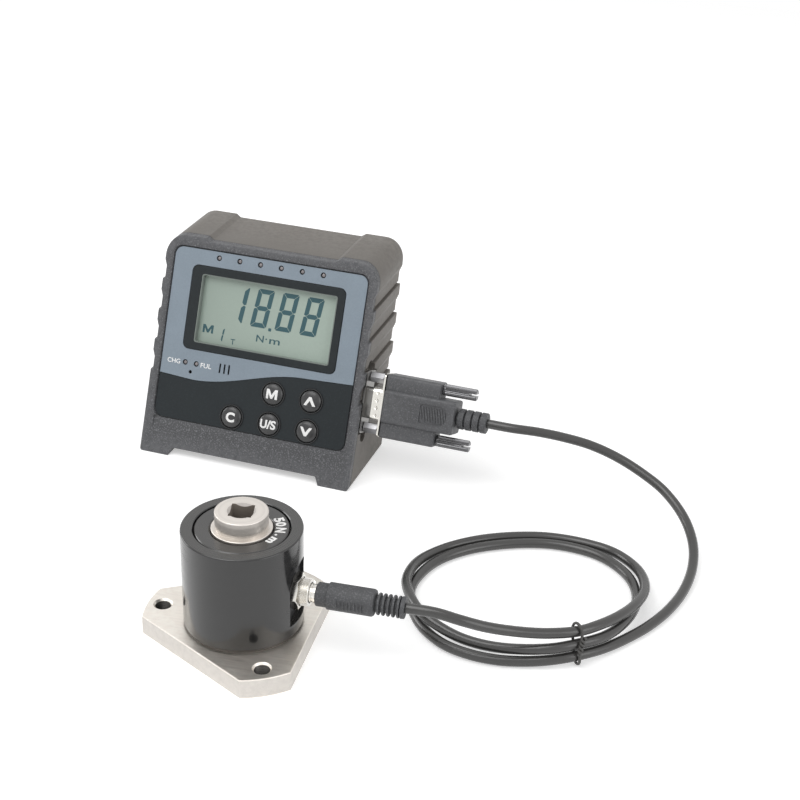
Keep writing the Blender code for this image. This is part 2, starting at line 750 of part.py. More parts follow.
def build_rear_case(display, port):
    """Build the back shell with its screw pillars and the port's opening."""
    shell = loft([
        behind_front(case_outline(0, True), BEHIND_BEZEL),
        before_back(case_outline(0, True), CASE_EDGE),
        before_back(case_outline(CASE_EDGE, True), 0),
    ])
    rear_case = part("rear_case", shell, "shell", display)
    half = HALF_WIDTH - GROOVE_DEPTH - CASE_WALL
    top = CASE_HEIGHT - TOP_RECESS - CASE_WALL
    inner = rectangle(-half, half, FOOT_HEIGHT + CASE_WALL, top, CORNER_RADIUS / 2)
    hollow = loft([behind_front(inner, -OVER), before_back(inner, CASE_WALL)])
    pillars = rods(PILLAR_RADIUS, post_spans(
        lambda height: post_end(height) + GAP, lambda height: case_back(height) - CASE_WALL))
    counterbores = rods(SCREW_HEAD_RADIUS + SCREW_CLEARANCE, post_spans(
        lambda height: post_end(height) + GAP + PILLAR_WEB,
        lambda height: case_back(height) + CASE_WALL))
    clearances = rods(SCREW_RADIUS + SCREW_CLEARANCE, post_spans(
        post_end, lambda height: post_end(height) + 2 * PILLAR_WEB), SMALL)
    width = PORT_FLANGE_WIDTH / 2 + 2 * GAP + PORT_SETBACK
    seat = boxes((2 * BAND_STEP, width, PORT_FLANGE_LENGTH + 4 * GAP), [
        (0, PORT_FLANGE_WIDTH / 2 + 2 * GAP - width / 2, 0)])
    opening = boxes((4 * CASE_WALL + 4 * BAND_STEP, PORT_BODY_WIDTH + 2 * GAP,
                     PORT_BODY_LENGTH + 2 * GAP), [(-2 * CASE_WALL, 0, 0)])
    studs = [(-PORT_SCREW_SPACING / 2, 0), (PORT_SCREW_SPACING / 2, 0)]
    stud_holes = rods(JACK_STUD_RADIUS + GAP, level(studs, -4 * CASE_WALL, OVER), SMALL)
    ends = [(-SCALLOP_PLACE, 0), (SCALLOP_PLACE, 0)]
    scallops = rods(SCALLOP_RADIUS, level(ends, -SCALLOP_DEPTH, OVER))
    cut(rear_case, tool("case_hollow", hollow, display))
    join(rear_case, tool("case_pillars", pillars, display, turn=BACKWARD))
    cut(rear_case,
        tool("case_counterbores", counterbores, display, turn=BACKWARD),
        tool("case_clearances", clearances, display, turn=BACKWARD),
        tool("port_seat", seat, port),
        tool("port_scallops", scallops, port, turn=ALONG_X),
        tool("port_opening", opening, port),
        tool("port_stud_holes", stud_holes, port, turn=ALONG_X))


def build_case_screws(display):
    """Build the screws that hold the back shell to the bezel's posts."""
    for number, (x, height) in enumerate(
            [(-POST_X, POST_LOW), (-POST_X, POST_HIGH), (POST_X, POST_LOW), (POST_X, POST_HIGH)]):
        outline = profile([
            (0, SCREW_HEAD_HEIGHT / 2), (SCREW_RADIUS, SCREW_HEAD_HEIGHT / 2),
            (SCREW_RADIUS, SCREW_HEAD_HEIGHT), (SCREW_HEAD_RADIUS, SCREW_HEAD_HEIGHT),
            (SCREW_HEAD_RADIUS, 0), (SCREW_RADIUS, 0), (SCREW_RADIUS, -SCREW_REACH),
            (0, -SCREW_REACH),
        ])
        seat = post_end(height) + GAP + PILLAR_WEB + GAP
        screw = part(f"case_screw_{number + 1}", outline, "zinc", display,
                     (x, seat, height), BACKWARD)
        turned(screw, SMALL)


def lamp_places():
    """Return where the row of indicator lamps and the charge lamps stand."""
    middle = (LAMP_COUNT - 1) / 2
    row = [(LAMP_MIDDLE_X + LAMP_PITCH * (number - middle), LAMP_ROW)
           for number in range(LAMP_COUNT)]
    return row + [(x, CHARGE_LAMP_ROW) for x in CHARGE_LAMP_X]


def slot_places():
    """Return the middles of the sound slots."""
    middle = (SLOT_COUNT - 1) / 2
    return [(SLOT_X + SLOT_PITCH * (number - middle), SLOT_ROW) for number in range(SLOT_COUNT)]


def build_front_bezel(display, face):
    """Build the bezel with its pocket, window, holes and posts."""
    plate = loft([
        behind_front(case_outline(CASE_EDGE), 0),
        behind_front(case_outline(), CASE_EDGE),
        behind_front(case_outline(), BEZEL_DEPTH),
    ])
    bezel = part("front_bezel", plate, "bezel", display)
    posts = rods(POST_RADIUS, post_spans(
        lambda height: case_front(height) + BEZEL_DEPTH / 2, post_end))
    post_bores = rods(SCREW_RADIUS + GAP, post_spans(
        lambda height: post_end(height) - SCREW_REACH + PILLAR_WEB / 2,
        lambda height: post_end(height) + OVER), SMALL)
    board_places = [(x, row) for x in (-BOARD_POST_X, BOARD_POST_X) for row in BOARD_POST_ROWS]
    board_posts = rods(BOARD_POST_RADIUS, level(board_places, -BOARD_SEAT, -BEZEL_DEPTH / 1.5), SMALL)
    side = HALF_WIDTH - POCKET_SIDE
    pocket = sheet([rectangle(-side, side, POCKET_BOTTOM, POCKET_TOP, POCKET_RADIUS, 5)],
                   2 * POCKET_DEPTH)
    run = LIP_SLOPE * OVER / POCKET_DEPTH
    step = POCKET_DEPTH - 2 * GAP
    wedge = [(-OVER, POCKET_BOTTOM - LIP_SLOPE - run), (step, POCKET_BOTTOM - 2 * GAP),
             (step, POCKET_BOTTOM + GAP), (-OVER, POCKET_BOTTOM + GAP)]
    lip = along_x(wedge, GAP - side, side - GAP)
    window = sheet([rectangle(WINDOW_LEFT, WINDOW_RIGHT, WINDOW_BOTTOM, WINDOW_TOP, OVER, 2)],
                   4 * BEZEL_DEPTH)
    through = (-BEZEL_DEPTH - OVER, OVER)
    button_holes = rods(BUTTON_RADIUS + BUTTON_CLEARANCE, level(BUTTONS.values(), *through), MEDIUM)
    lamp_holes = rods(LAMP_HOLE_RADIUS, level(lamp_places(), *through), SMALL)
    reset_hole = rods(RESET_RADIUS, level([(RESET_X, RESET_ROW)], *through), SMALL)
    slots = boxes((SLOT_WIDTH, SLOT_LENGTH, 4 * BEZEL_DEPTH), [(x, y, 0) for x, y in slot_places()])
    join(bezel,
         tool("bezel_posts", posts, display, turn=BACKWARD),
         tool("board_posts", board_posts, face, turn=OUTWARD))
    cut(bezel,
        tool("bezel_post_bores", post_bores, display, turn=BACKWARD),
        tool("bezel_pocket", pocket, face, turn=OUTWARD),
        tool("bezel_lip", lip, face),
        tool("bezel_window", window, face, turn=OUTWARD),
        tool("bezel_button_holes", button_holes, face, turn=OUTWARD),
        tool("bezel_lamp_holes", lamp_holes, face, turn=OUTWARD),
        tool("bezel_reset_hole", reset_hole, face, turn=OUTWARD),
        tool("bezel_slots", slots, face, turn=OUTWARD))


def wave(x):
    """Return the height of the line between the label plates."""
    if x < WAVE_DIP_X:
        return WAVE_DIP + (WAVE_LEFT - WAVE_DIP) * (WAVE_DIP_X - x) / (WAVE_DIP_X + HALF_WIDTH)
    if x > WAVE_CREST_X:
        share = (x - WAVE_CREST_X) / (HALF_WIDTH - WAVE_CREST_X)
        return WAVE_CREST + (WAVE_RIGHT - WAVE_CREST) * share
    share = (x - WAVE_DIP_X) / (WAVE_CREST_X - WAVE_DIP_X)
    return WAVE_DIP + (WAVE_CREST - WAVE_DIP) * (1 - math.cos(math.pi * share)) / 2


def build_label_plates(face):
    """Build the two label plates, which meet along the wave."""
    side = HALF_WIDTH - POCKET_SIDE - GAP
    radius = POCKET_RADIUS - GAP
    steps = 20
    line = [-side + 2 * side * step / steps for step in range(steps + 1)]
    bottom = POCKET_BOTTOM + GAP
    top = POCKET_TOP - GAP
    lower = arc((-side + radius, bottom + radius), radius, math.pi, 1.5 * math.pi, 5)
    lower += arc((side - radius, bottom + radius), radius, -math.pi / 2, 0, 5)
    lower += [(x, wave(x) - GAP / 2) for x in reversed(line)]
    upper = [(x, wave(x) + GAP / 2) for x in line]
    upper += arc((side - radius, top - radius), radius, 0, math.pi / 2, 5)
    upper += arc((-side + radius, top - radius), radius, math.pi / 2, math.pi, 5)
    buttons = [circle(x, y, BUTTON_RADIUS + BUTTON_CLEARANCE, MEDIUM) for x, y in BUTTONS.values()]
    openings = [circle(x, y, LAMP_HOLE_RADIUS) for x, y in lamp_places()]
    openings.append(circle(RESET_X, RESET_ROW, RESET_RADIUS))
    openings.append(rectangle(FRAME_LEFT - GAP, FRAME_RIGHT + GAP, FRAME_BOTTOM - GAP,
                              FRAME_TOP + GAP, FRAME_RADIUS + GAP))
    for x, y in slot_places():
        openings.append([(x - SLOT_WIDTH / 2, y - SLOT_LENGTH / 2),
                         (x + SLOT_WIDTH / 2, y - SLOT_LENGTH / 2),
                         (x + SLOT_WIDTH / 2, y + SLOT_LENGTH / 2),
                         (x - SLOT_WIDTH / 2, y + SLOT_LENGTH / 2)])
    place = (0, PANEL_SETBACK + PANEL_THICKNESS / 2, 0)
    part("panel_upper", sheet([upper] + openings, PANEL_THICKNESS), "slate", face, place, OUTWARD)
    part("panel_lower", sheet([lower] + buttons, PANEL_THICKNESS), "ink", face, place, OUTWARD)


def build_display_window(face):
    """Build the frame round the window and the display behind it."""
    loops = [
        rectangle(FRAME_LEFT, FRAME_RIGHT, FRAME_BOTTOM, FRAME_TOP, FRAME_RADIUS),
        rectangle(WINDOW_LEFT, WINDOW_RIGHT, WINDOW_BOTTOM, WINDOW_TOP, OVER, 2),
    ]
    part("lcd_frame", sheet(loops, FRAME_THICKNESS), "ink", face,
         (0, FRAME_SETBACK + FRAME_THICKNESS / 2, 0), OUTWARD)
    size = (WINDOW_RIGHT - WINDOW_LEFT + 2 * MODULE_BORDER, BOARD_SEAT - BEHIND_BEZEL,
            WINDOW_TOP - WINDOW_BOTTOM + 2 * MODULE_BORDER)
    middle = ((WINDOW_LEFT + WINDOW_RIGHT) / 2, (BOARD_SEAT + BEHIND_BEZEL) / 2,
              (WINDOW_BOTTOM + WINDOW_TOP) / 2)
    part("lcd_module", boxes(size, [(0, 0, 0)]), "glass", face, middle)


def build_buttons(face):
    """Build the buttons, each on its own axis of travel."""
    top = BUTTON_PROUD - PANEL_SETBACK
    rim = BUTTON_RADIUS - BUTTON_CLEARANCE
    dome = [(rim * math.sin(step * math.pi / 8), top - (top - GAP) * (1 - math.cos(step * math.pi / 8)))
            for step in range(4)]
    for name, (x, row) in BUTTONS.items():
        outline = profile(dome + [
            (BUTTON_RADIUS, GAP), (BUTTON_RADIUS, -BEHIND_BEZEL),
            (BUTTON_RADIUS + BUTTON_FLANGE, -BEHIND_BEZEL),
            (BUTTON_RADIUS + BUTTON_FLANGE, -BEHIND_BEZEL - BUTTON_FLANGE_THICKNESS),
            (BUTTON_RADIUS / 2, -BEHIND_BEZEL - BUTTON_FLANGE_THICKNESS),
            (BUTTON_RADIUS / 2, -BUTTON_FOOT), (0, -BUTTON_FOOT),
        ])
        turned(part(name, outline, "rubber", face, (x, 0, row), OUTWARD), MEDIUM)


def build_lamps(face):
    """Build the light pipes of the indicator and charge lamps."""
    front = PANEL_SETBACK + LAMP_RECESS
    for number, (x, row) in enumerate(lamp_places()):
        name = f"lamp_{number + 1}" if number < LAMP_COUNT else f"charge_lamp_{number - LAMP_COUNT + 1}"
        pipe = rods(LAMP_RADIUS, level([(0, 0)], -BOARD_SEAT, -front), SMALL)
        part(name, pipe, "lamp", face, (x, 0, row), OUTWARD)


def build_electronics(display, face):
    """Build the board, key mat, buzzer and battery inside the housing."""
    size = (2 * BOARD_HALF_WIDTH, BOARD_THICKNESS, BOARD_TOP - BOARD_BOTTOM)
    middle = (0, BOARD_SETBACK + BOARD_THICKNESS / 2, (BOARD_TOP + BOARD_BOTTOM) / 2)
    part("main_board", boxes(size, [(0, 0, 0)]), "board", face, middle)
    edge = MAT_DOME_RADIUS + MAT_MARGIN
    left = BUTTON_MIDDLE_X - BUTTON_PITCH_X - edge
    right = BUTTON_MIDDLE_X + BUTTON_PITCH_X + edge
    corner = (BUTTON_MIDDLE_X - edge, BUTTON_LOW + edge)
    outline = [(left, BUTTON_LOW - edge), (right, BUTTON_LOW - edge), (right, BUTTON_HIGH + edge),
               (corner[0], BUTTON_HIGH + edge), corner, (left, corner[1])]
    key_mat = part("key_mat", sheet([outline], MAT_THICKNESS), "rubber", face,
                   (0, MAT_FRONT + MAT_THICKNESS / 2, 0), OUTWARD)
    domes = rods(MAT_DOME_RADIUS, level(BUTTONS.values(), -MAT_FRONT - MAT_THICKNESS / 2,
                                        -MAT_DOME_TOP), COARSE, MAT_DOME_RADIUS * 0.7)
    join(key_mat, tool("key_domes", domes, face, turn=OUTWARD))
    buzzer = rods(BUZZER_RADIUS, level([(0, 0)], -BOARD_SEAT, BUZZER_THICKNESS - BOARD_SEAT), MEDIUM)
    part("buzzer", buzzer, "moulded", face, (SLOT_X, 0, SLOT_ROW), OUTWARD)
    floor = FOOT_HEIGHT + CASE_WALL + GAP
    board_back = (BOARD_SETBACK + BOARD_THICKNESS) / math.cos(FACE_LEAN)
    front = case_front(floor + BATTERY_HEIGHT) + board_back + BATTERY_CLEARANCE
    rear = case_back(floor) - CASE_WALL / math.cos(BACK_LEAN) - GAP
    part("battery_pack", boxes((BATTERY_WIDTH, rear - front, BATTERY_HEIGHT), [(0, 0, 0)]),
         "battery", display, (0, (front + rear) / 2, floor + BATTERY_HEIGHT / 2))


def shell_outline(margin=0.0):
    """Return the D-shaped outline of the port's shell, grown by a margin."""
    width = PORT_SHELL_WIDTH / 2 + margin
    length = PORT_SHELL_LENGTH / 2 + margin
    slant = 2 * width * math.tan(math.radians(10))
    corners = [(-width, -length), (width, slant - length), (width, length - slant), (-width, length)]
    return rounded(corners, PORT_SHELL_WIDTH / 4 + margin)


def along_x(outline, start, end):
    """Make a prism along X from an outline in the YZ plane."""
    return loft([[(x, y, z) for y, z in outline] for x in (start, end)])


def flange_outline():
    """Return the outline of the flange round either half of the port."""
    length = PORT_FLANGE_LENGTH / 2
    width = PORT_FLANGE_WIDTH / 2
    return rectangle(-width, width, -length, length, 0.0015)


def build_port(port):
    """Build the socket in the housing's side and its two jack screws."""
    socket = part("socket_shell", along_x(flange_outline(), FLANGE_BACK, FLANGE_FRONT), "tin", port)
    tube = along_x(shell_outline(), (FLANGE_BACK + FLANGE_FRONT) / 2, SHELL_END)
    bore = along_x(shell_outline(-PORT_SHELL_WALL), FLANGE_BACK - OVER, SHELL_END + OVER)
    studs = [(-PORT_SCREW_SPACING / 2, 0), (PORT_SCREW_SPACING / 2, 0)]
    holes = rods(JACK_STUD_RADIUS + GAP, level(studs, FLANGE_BACK - OVER, FLANGE_FRONT + OVER), SMALL)
    join(socket, tool("socket_tube", tube, port))
    cut(socket,
        tool("socket_bore", bore, port),
        tool("socket_stud_holes", holes, port, turn=ALONG_X))
    size = (PORT_BODY_DEPTH, PORT_BODY_WIDTH, PORT_BODY_LENGTH)
    body = part("socket_body", boxes(size, [(FLANGE_BACK - GAP - PORT_BODY_DEPTH / 2, 0, 0)]),
                "moulded", port)
    insert = along_x(shell_outline(-PORT_SHELL_WALL - GAP), FLANGE_BACK - 4 * GAP, SHELL_END - OVER)
    join(body, tool("socket_insert", insert, port))
    for name, side in (("jack_upper", 1), ("jack_lower", -1)):
        centre = (0, 0, side * PORT_SCREW_SPACING / 2)
        hexagon = rods(JACK_FLATS / math.sqrt(3), level([(0, 0)], JACK_START, JACK_START + JACK_LENGTH), 6)
        jack = part(name, hexagon, "tin", port, centre, ALONG_X)
        stud = rods(JACK_STUD_RADIUS, level([(0, 0)], -JACK_STUD_LENGTH, JACK_START + GAP), SMALL)
        end = JACK_START + JACK_LENGTH
        bore = rods(JACK_BORE, level([(0, 0)], end - JACK_BORE_DEPTH, end + OVER), SMALL)
        join(jack, tool(f"{name}_stud", stud, port, centre, ALONG_X))
        cut(jack, tool(f"{name}_bore", bore, port, centre, ALONG_X))


def ringed(start, length, radius, neck, rings):
    """Return a ringed profile along Z, from its far end down to its start."""
    pitch = length / rings
    points = [(0, start + length)]
    for number in range(rings, 0, -1):
        top = start + pitch * number
        points += [(radius, top), (radius, top - pitch * 0.6)]
        points += [(neck, top - pitch * 0.6), (neck, top - pitch)]
    return points + [(0, start)]


def build_plug(port):
    """Build the cable's plug on the display: shell, hood, relief and screws."""
    shell = part("plug_shell", along_x(flange_outline(), PLUG_STANDOFF, PLUG_FLANGE_END), "tin", port)
    tip = PLUG_STANDOFF - PLUG_SHELL_REACH
    tube = along_x(shell_outline(GAP + PORT_SHELL_WALL), tip, PLUG_STANDOFF + GAP)
    bore = along_x(shell_outline(GAP), tip - OVER, PLUG_STANDOFF - GAP / 3)
    screws = [(-PORT_SCREW_SPACING / 2, 0), (PORT_SCREW_SPACING / 2, 0)]
    holes = rods(THUMB_BORE, level(screws, PLUG_STANDOFF - OVER, PLUG_FLANGE_END + OVER), SMALL)
    join(shell, tool("plug_tube", tube, port))
    cut(shell,
        tool("plug_bore", bore, port),
        tool("plug_screw_holes", holes, port, turn=ALONG_X))

    hood = part("plug_hood", hood_block(HOOD_WING_LENGTH, HOOD_WING_THICKNESS / 2, HOOD_HALF_SPAN),
                "moulded", port)
    body = hood_block(HOOD_BODY_LENGTH, HOOD_BODY_THICKNESS / 2, HOOD_BODY_HALF)
    bores = rods(THUMB_BORE, level(screws, HOOD_START - OVER, THUMB_START), SMALL)
    pitch = GRIP_LENGTH / GRIP_RIBS
    grooves = boxes((pitch / 2, 2 * GRIP_DEPTH, 2 * GRIP_HALF), [
        (HOOD_START + GRIP_START + pitch * (number + 0.5), face * HOOD_BODY_THICKNESS / 2, 0)
        for number in range(GRIP_RIBS) for face in (-1, 1)])
    join(hood, tool("hood_body", body, port))
    cut(hood,
        tool("hood_screw_bores", bores, port, turn=ALONG_X),
        tool("hood_grip_grooves", grooves, port))

    rings = ringed(RELIEF_START, RELIEF_LENGTH, RELIEF_RADIUS, RELIEF_RADIUS * 0.8, RELIEF_RINGS)
    turned(part("hood_relief", profile(rings), "moulded", port, turn=ALONG_X), COARSE)
    for name, side in (("thumbscrew_upper", 1), ("thumbscrew_lower", -1)):
        end = THUMB_START + THUMB_HEAD_LENGTH
        outline = profile([
            (0, end), (THUMB_HEAD_RADIUS, end), (THUMB_HEAD_RADIUS, THUMB_START),
            (THUMB_SHANK_RADIUS, THUMB_START), (THUMB_SHANK_RADIUS, THUMB_TIP), (0, THUMB_TIP),
        ])
        centre = (0, 0, side * PORT_SCREW_SPACING / 2)
        screw = turned(part(name, outline, "moulded", port, centre, ALONG_X), COARSE)
        slot = boxes((2 * THUMB_SLOT_DEPTH, 4 * THUMB_HEAD_RADIUS, THUMB_SLOT_WIDTH), [(end, 0, 0)])
        cut(screw, tool(f"{name}_slot", slot, port, centre))


def hood_block(length, half_thickness, half_span):
    """Make a block of the hood with its edges cut back at both ends."""
    levels = [
        (HOOD_START, HOOD_EDGE), (HOOD_START + HOOD_EDGE, 0),
        (HOOD_START + length - HOOD_EDGE, 0), (HOOD_START + length, HOOD_EDGE),
    ]
    sections = []
    for x, inset in levels:
        y, z = half_thickness - inset, half_span - inset
        sections.append([(x, *point) for point in rectangle(-y, y, -z, z, HOOD_EDGE)])
    return loft(sections)


def plate_outline(inset):
    """Return the bolt-down plate's outline, three flats between three arcs."""
    radius = PLATE_RADIUS - inset
    half = math.radians(60) - plate_corner(inset)
    points = []
    for number in range(3):
        corner = math.radians(60 + 120 * number)
        points += arc((0, 0), radius, corner - half, corner + half, 6)
    return points


def round_places(radius, start):
    """Return three places on a circle, the first at an angle in degrees."""
    angles = [math.radians(start + 120 * number) for number in range(3)]
    return [(radius * math.cos(angle), radius * math.sin(angle)) for angle in angles]


def build_base_plate(sensor):
    """Build the bolt-down plate with its seat and its holes."""
    levels = [
        (0, PLATE_EDGE), (PLATE_EDGE, 0),
        (PLATE_THICKNESS - PLATE_EDGE, 0), (PLATE_THICKNESS, PLATE_EDGE),
    ]
    sections = [[(x, y, z) for x, y in plate_outline(inset)] for z, inset in levels]
    plate = part("base_plate", loft(sections), "steel", sensor)
    seat = rods(SEAT_RADIUS, [(0, 0, PLATE_THICKNESS / 2, SEAT_TOP)], FINE)
    holes = stepped_rods([
        (-OVER, PLATE_HOLE_RADIUS), (PLATE_THICKNESS - PLATE_HOLE_EDGE, PLATE_HOLE_RADIUS),
        (PLATE_THICKNESS + OVER, PLATE_HOLE_RADIUS + PLATE_HOLE_EDGE + OVER),
    ], round_places(PLATE_HOLE_CIRCLE, 60), MEDIUM)
    head = FLANGE_SCREW_HEAD + SCREW_CLEARANCE
    passages = stepped_rods([
        (-OVER, head), (FLANGE_SCREW_COUNTERBORE, head),
        (FLANGE_SCREW_COUNTERBORE, FLANGE_SCREW_RADIUS + GAP),
        (SEAT_TOP + OVER, FLANGE_SCREW_RADIUS + GAP),
    ], round_places(FLANGE_SCREW_CIRCLE, 0), SMALL)
    join(plate, tool("plate_seat", seat, sensor))
    cut(plate,
        tool("plate_holes", holes, sensor),
        tool("plate_passages", passages, sensor))


def build_flange_screws(sensor):
    """Build the screws that hold the shaft's flange to the plate."""
    head_top = FLANGE_SCREW_COUNTERBORE - GAP
    head_bottom = head_top - FLANGE_SCREW_HEAD_HEIGHT
    key = FLANGE_SCREW_HEAD / 2
    for number, (x, y) in enumerate(round_places(FLANGE_SCREW_CIRCLE, 0)):
        outline = profile([
            (0, SEAT_TOP + FLANGE_SCREW_REACH), (FLANGE_SCREW_RADIUS, SEAT_TOP + FLANGE_SCREW_REACH),
            (FLANGE_SCREW_RADIUS, head_top), (FLANGE_SCREW_HEAD, head_top),
            (FLANGE_SCREW_HEAD, head_bottom), (key, head_bottom),
            (key, head_bottom + key), (0, head_bottom + key),
        ])
        turned(part(f"flange_screw_{number + 1}", outline, "zinc", sensor, (x, y, 0)), SMALL)


def build_sleeve(sensor):
    """Build the sensor's sleeve with the recess for its socket."""
    top_bore = SLEEVE_BORE + SLEEVE_EDGE / 2
    outline = profile([
        (top_bore, SLEEVE_TOP), (SLEEVE_RADIUS - SLEEVE_EDGE, SLEEVE_TOP),
        (SLEEVE_RADIUS, SLEEVE_TOP - SLEEVE_EDGE), (SLEEVE_RADIUS, SLEEVE_BOTTOM),
        (SLEEVE_BORE, SLEEVE_BOTTOM), (SLEEVE_BORE, SLEEVE_TOP - SLEEVE_EDGE / 2),
    ])
    sleeve = turned(part("sleeve", outline, "anodised", sensor), FINE)
    straight = RECESS_BOTTOM + 2 * RECESS_HALF_WIDTH - (SOCKET_HEIGHT - RECESS_BOTTOM) / 6
    recess = [(-RECESS_HALF_WIDTH, RECESS_BOTTOM), (RECESS_HALF_WIDTH, RECESS_BOTTOM)]
    recess += arc((0, straight), RECESS_HALF_WIDTH, 0, math.pi, 12)
    pocket = along_x(recess, RECESS_FLAT, SLEEVE_RADIUS + OVER)
    hole = rods(SOCKET_RADIUS + GAP, [(0, 0, RECESS_FLAT / 2, RECESS_FLAT + OVER)], MEDIUM)
    cut(sleeve,
        tool("sleeve_recess", pocket, sensor),
        tool("sleeve_socket_hole", hole, sensor, (0, 0, SOCKET_HEIGHT), ALONG_X))


def build_shaft(sensor):
    """Build the shaft, its bearing, the cap over it and the gauge board."""
    journal_bottom = BEARING_BOTTOM - OVER
    shoulder = BEARING_TOP + GAP
    neck_top = BOSS_TOP - (BOSS_TOP - COLLAR_TOP) * 0.7
    outline = profile([
        (0, BOSS_TOP), (BOSS_RADIUS - BOSS_EDGE, BOSS_TOP), (BOSS_RADIUS, BOSS_TOP - BOSS_EDGE),
        (BOSS_RADIUS, neck_top), (BOSS_NECK, neck_top - GAP), (BOSS_NECK, COLLAR_TOP),
        (COLLAR_RADIUS, COLLAR_TOP), (COLLAR_RADIUS, shoulder), (JOURNAL_RADIUS, shoulder),
        (JOURNAL_RADIUS, journal_bottom), (TORSION_RADIUS, journal_bottom - OVER),
        (TORSION_RADIUS, FLANGE_TOP), (FLANGE_RADIUS, FLANGE_TOP),
        (FLANGE_RADIUS, SLEEVE_BOTTOM), (0, SLEEVE_BOTTOM),
    ])
    shaft = turned(part("drive_shaft", outline, "steel", sensor), FINE)
    square = boxes((DRIVE_SIZE, DRIVE_SIZE, 2 * DRIVE_DEPTH), [(0, 0, 0)])
    sink_depth = DRIVE_SINK_RADIUS - DRIVE_SIZE / 2
    sink = rods(DRIVE_SIZE / 2, [(0, 0, BOSS_TOP - sink_depth, BOSS_TOP + sink_depth)], MEDIUM,
                2 * DRIVE_SINK_RADIUS - DRIVE_SIZE / 2)
    threads = rods(FLANGE_SCREW_RADIUS + GAP, level(
        round_places(FLANGE_SCREW_CIRCLE, 0), SLEEVE_BOTTOM - OVER,
        SEAT_TOP + FLANGE_SCREW_REACH + GAP), SMALL)
    cut(shaft,
        tool("drive_square", square, sensor, (0, 0, BOSS_TOP), (0, 0, DRIVE_TURN)),
        tool("drive_sink", sink, sensor),
        tool("flange_threads", threads, sensor))
    race = profile([
        (JOURNAL_RADIUS + GAP, BEARING_TOP), (SLEEVE_BORE - GAP, BEARING_TOP),
        (SLEEVE_BORE - GAP, BEARING_BOTTOM), (JOURNAL_RADIUS + GAP, BEARING_BOTTOM),
    ])
    turned(part("bearing", race, "tin", sensor), MEDIUM)
    cap = profile([
        (CAP_BORE, CAP_TOP), (SLEEVE_BORE - GAP, CAP_TOP),
        (SLEEVE_BORE - GAP, CAP_BOTTOM), (CAP_BORE, CAP_BOTTOM),
    ])
    turned(part("cap_ring", cap, "moulded", sensor), FINE)
    board = boxes((GAUGE_BOARD_SIZE, GAUGE_BOARD_THICKNESS, GAUGE_BOARD_SIZE), [(0, 0, 0)])
    part("gauge_board", board, "board", sensor,
         (0, (TORSION_RADIUS + FLANGE_RADIUS) / 2, FLANGE_TOP + GAP + GAUGE_BOARD_SIZE / 2))


def build_sensor_socket(lead):
    """Build the socket in the sleeve's side and the nut on its thread."""
    back = BORE_FLANGE_FRONT - SOCKET_FLANGE_THICKNESS
    outline = profile([
        (0, SOCKET_END - SOCKET_BORE_DEPTH), (SOCKET_BORE, SOCKET_END - SOCKET_BORE_DEPTH),
        (SOCKET_BORE, SOCKET_END), (SOCKET_RADIUS, SOCKET_END),
        (SOCKET_RADIUS, BORE_FLANGE_FRONT), (SOCKET_FLANGE_RADIUS, BORE_FLANGE_FRONT),
        (SOCKET_FLANGE_RADIUS, back), (SOCKET_RADIUS, back), (SOCKET_RADIUS, SOCKET_BACK),
        (0, SOCKET_BACK),
    ])
    turned(part("panel_socket", outline, "tin", lead, turn=ALONG_X), MEDIUM)
    nut = part("socket_nut", rods(NUT_FLATS / math.sqrt(3), [
        (0, 0, NUT_START, NUT_START + NUT_THICKNESS)], 6), "tin", lead, turn=ALONG_X)
    bore = rods(SOCKET_RADIUS + GAP, [
        (0, 0, NUT_START - OVER, NUT_START + NUT_THICKNESS + OVER)], MEDIUM)
    cut(nut, tool("nut_bore", bore, lead, turn=ALONG_X))


def build_round_plug(lead):
    """Build the cable's round plug on the sensor."""
    inside = SOCKET_END - SOCKET_BORE_DEPTH + GAP
    outline = profile([
        (0, ROUND_PLUG_START - GAP), (ROUND_SHELL_RADIUS, ROUND_PLUG_START - GAP),
        (ROUND_SHELL_RADIUS, inside), (0, inside),
    ])
    turned(part("round_plug_shell", outline, "tin", lead, turn=ALONG_X), MEDIUM)
    collar_end = ROUND_PLUG_START + ROUND_COLLAR_LENGTH
    relief = ringed(ROUND_BODY_END, ROUND_RELIEF_LENGTH, ROUND_RELIEF_RADIUS,
                    ROUND_RELIEF_RADIUS * 0.85, ROUND_RELIEF_RINGS)
    outline = profile(relief[:-1] + [
        (ROUND_BODY_RADIUS - OVER, ROUND_BODY_END), (ROUND_BODY_RADIUS, ROUND_BODY_END - OVER),
        (ROUND_BODY_RADIUS, collar_end), (ROUND_COLLAR_RADIUS, collar_end),
        (ROUND_COLLAR_RADIUS, ROUND_PLUG_START), (0, ROUND_PLUG_START),
    ])
    plug = turned(part("round_plug", outline, "moulded", lead, turn=ALONG_X), COARSE)
    pitch = ROUND_GRIP_LENGTH / ROUND_GRIP_RIBS
    middle = (collar_end + ROUND_BODY_END - ROUND_GRIP_LENGTH) / 2
    grooves = boxes((pitch / 2, 2 * ROUND_GRIP_DEPTH, 2 * ROUND_GRIP_HALF), [
        (middle + pitch * (number + 0.5), face * ROUND_BODY_RADIUS, 0)
        for number in range(ROUND_GRIP_RIBS) for face in (-1, 1)])
    cut(plug, tool("round_plug_grooves", grooves, lead))


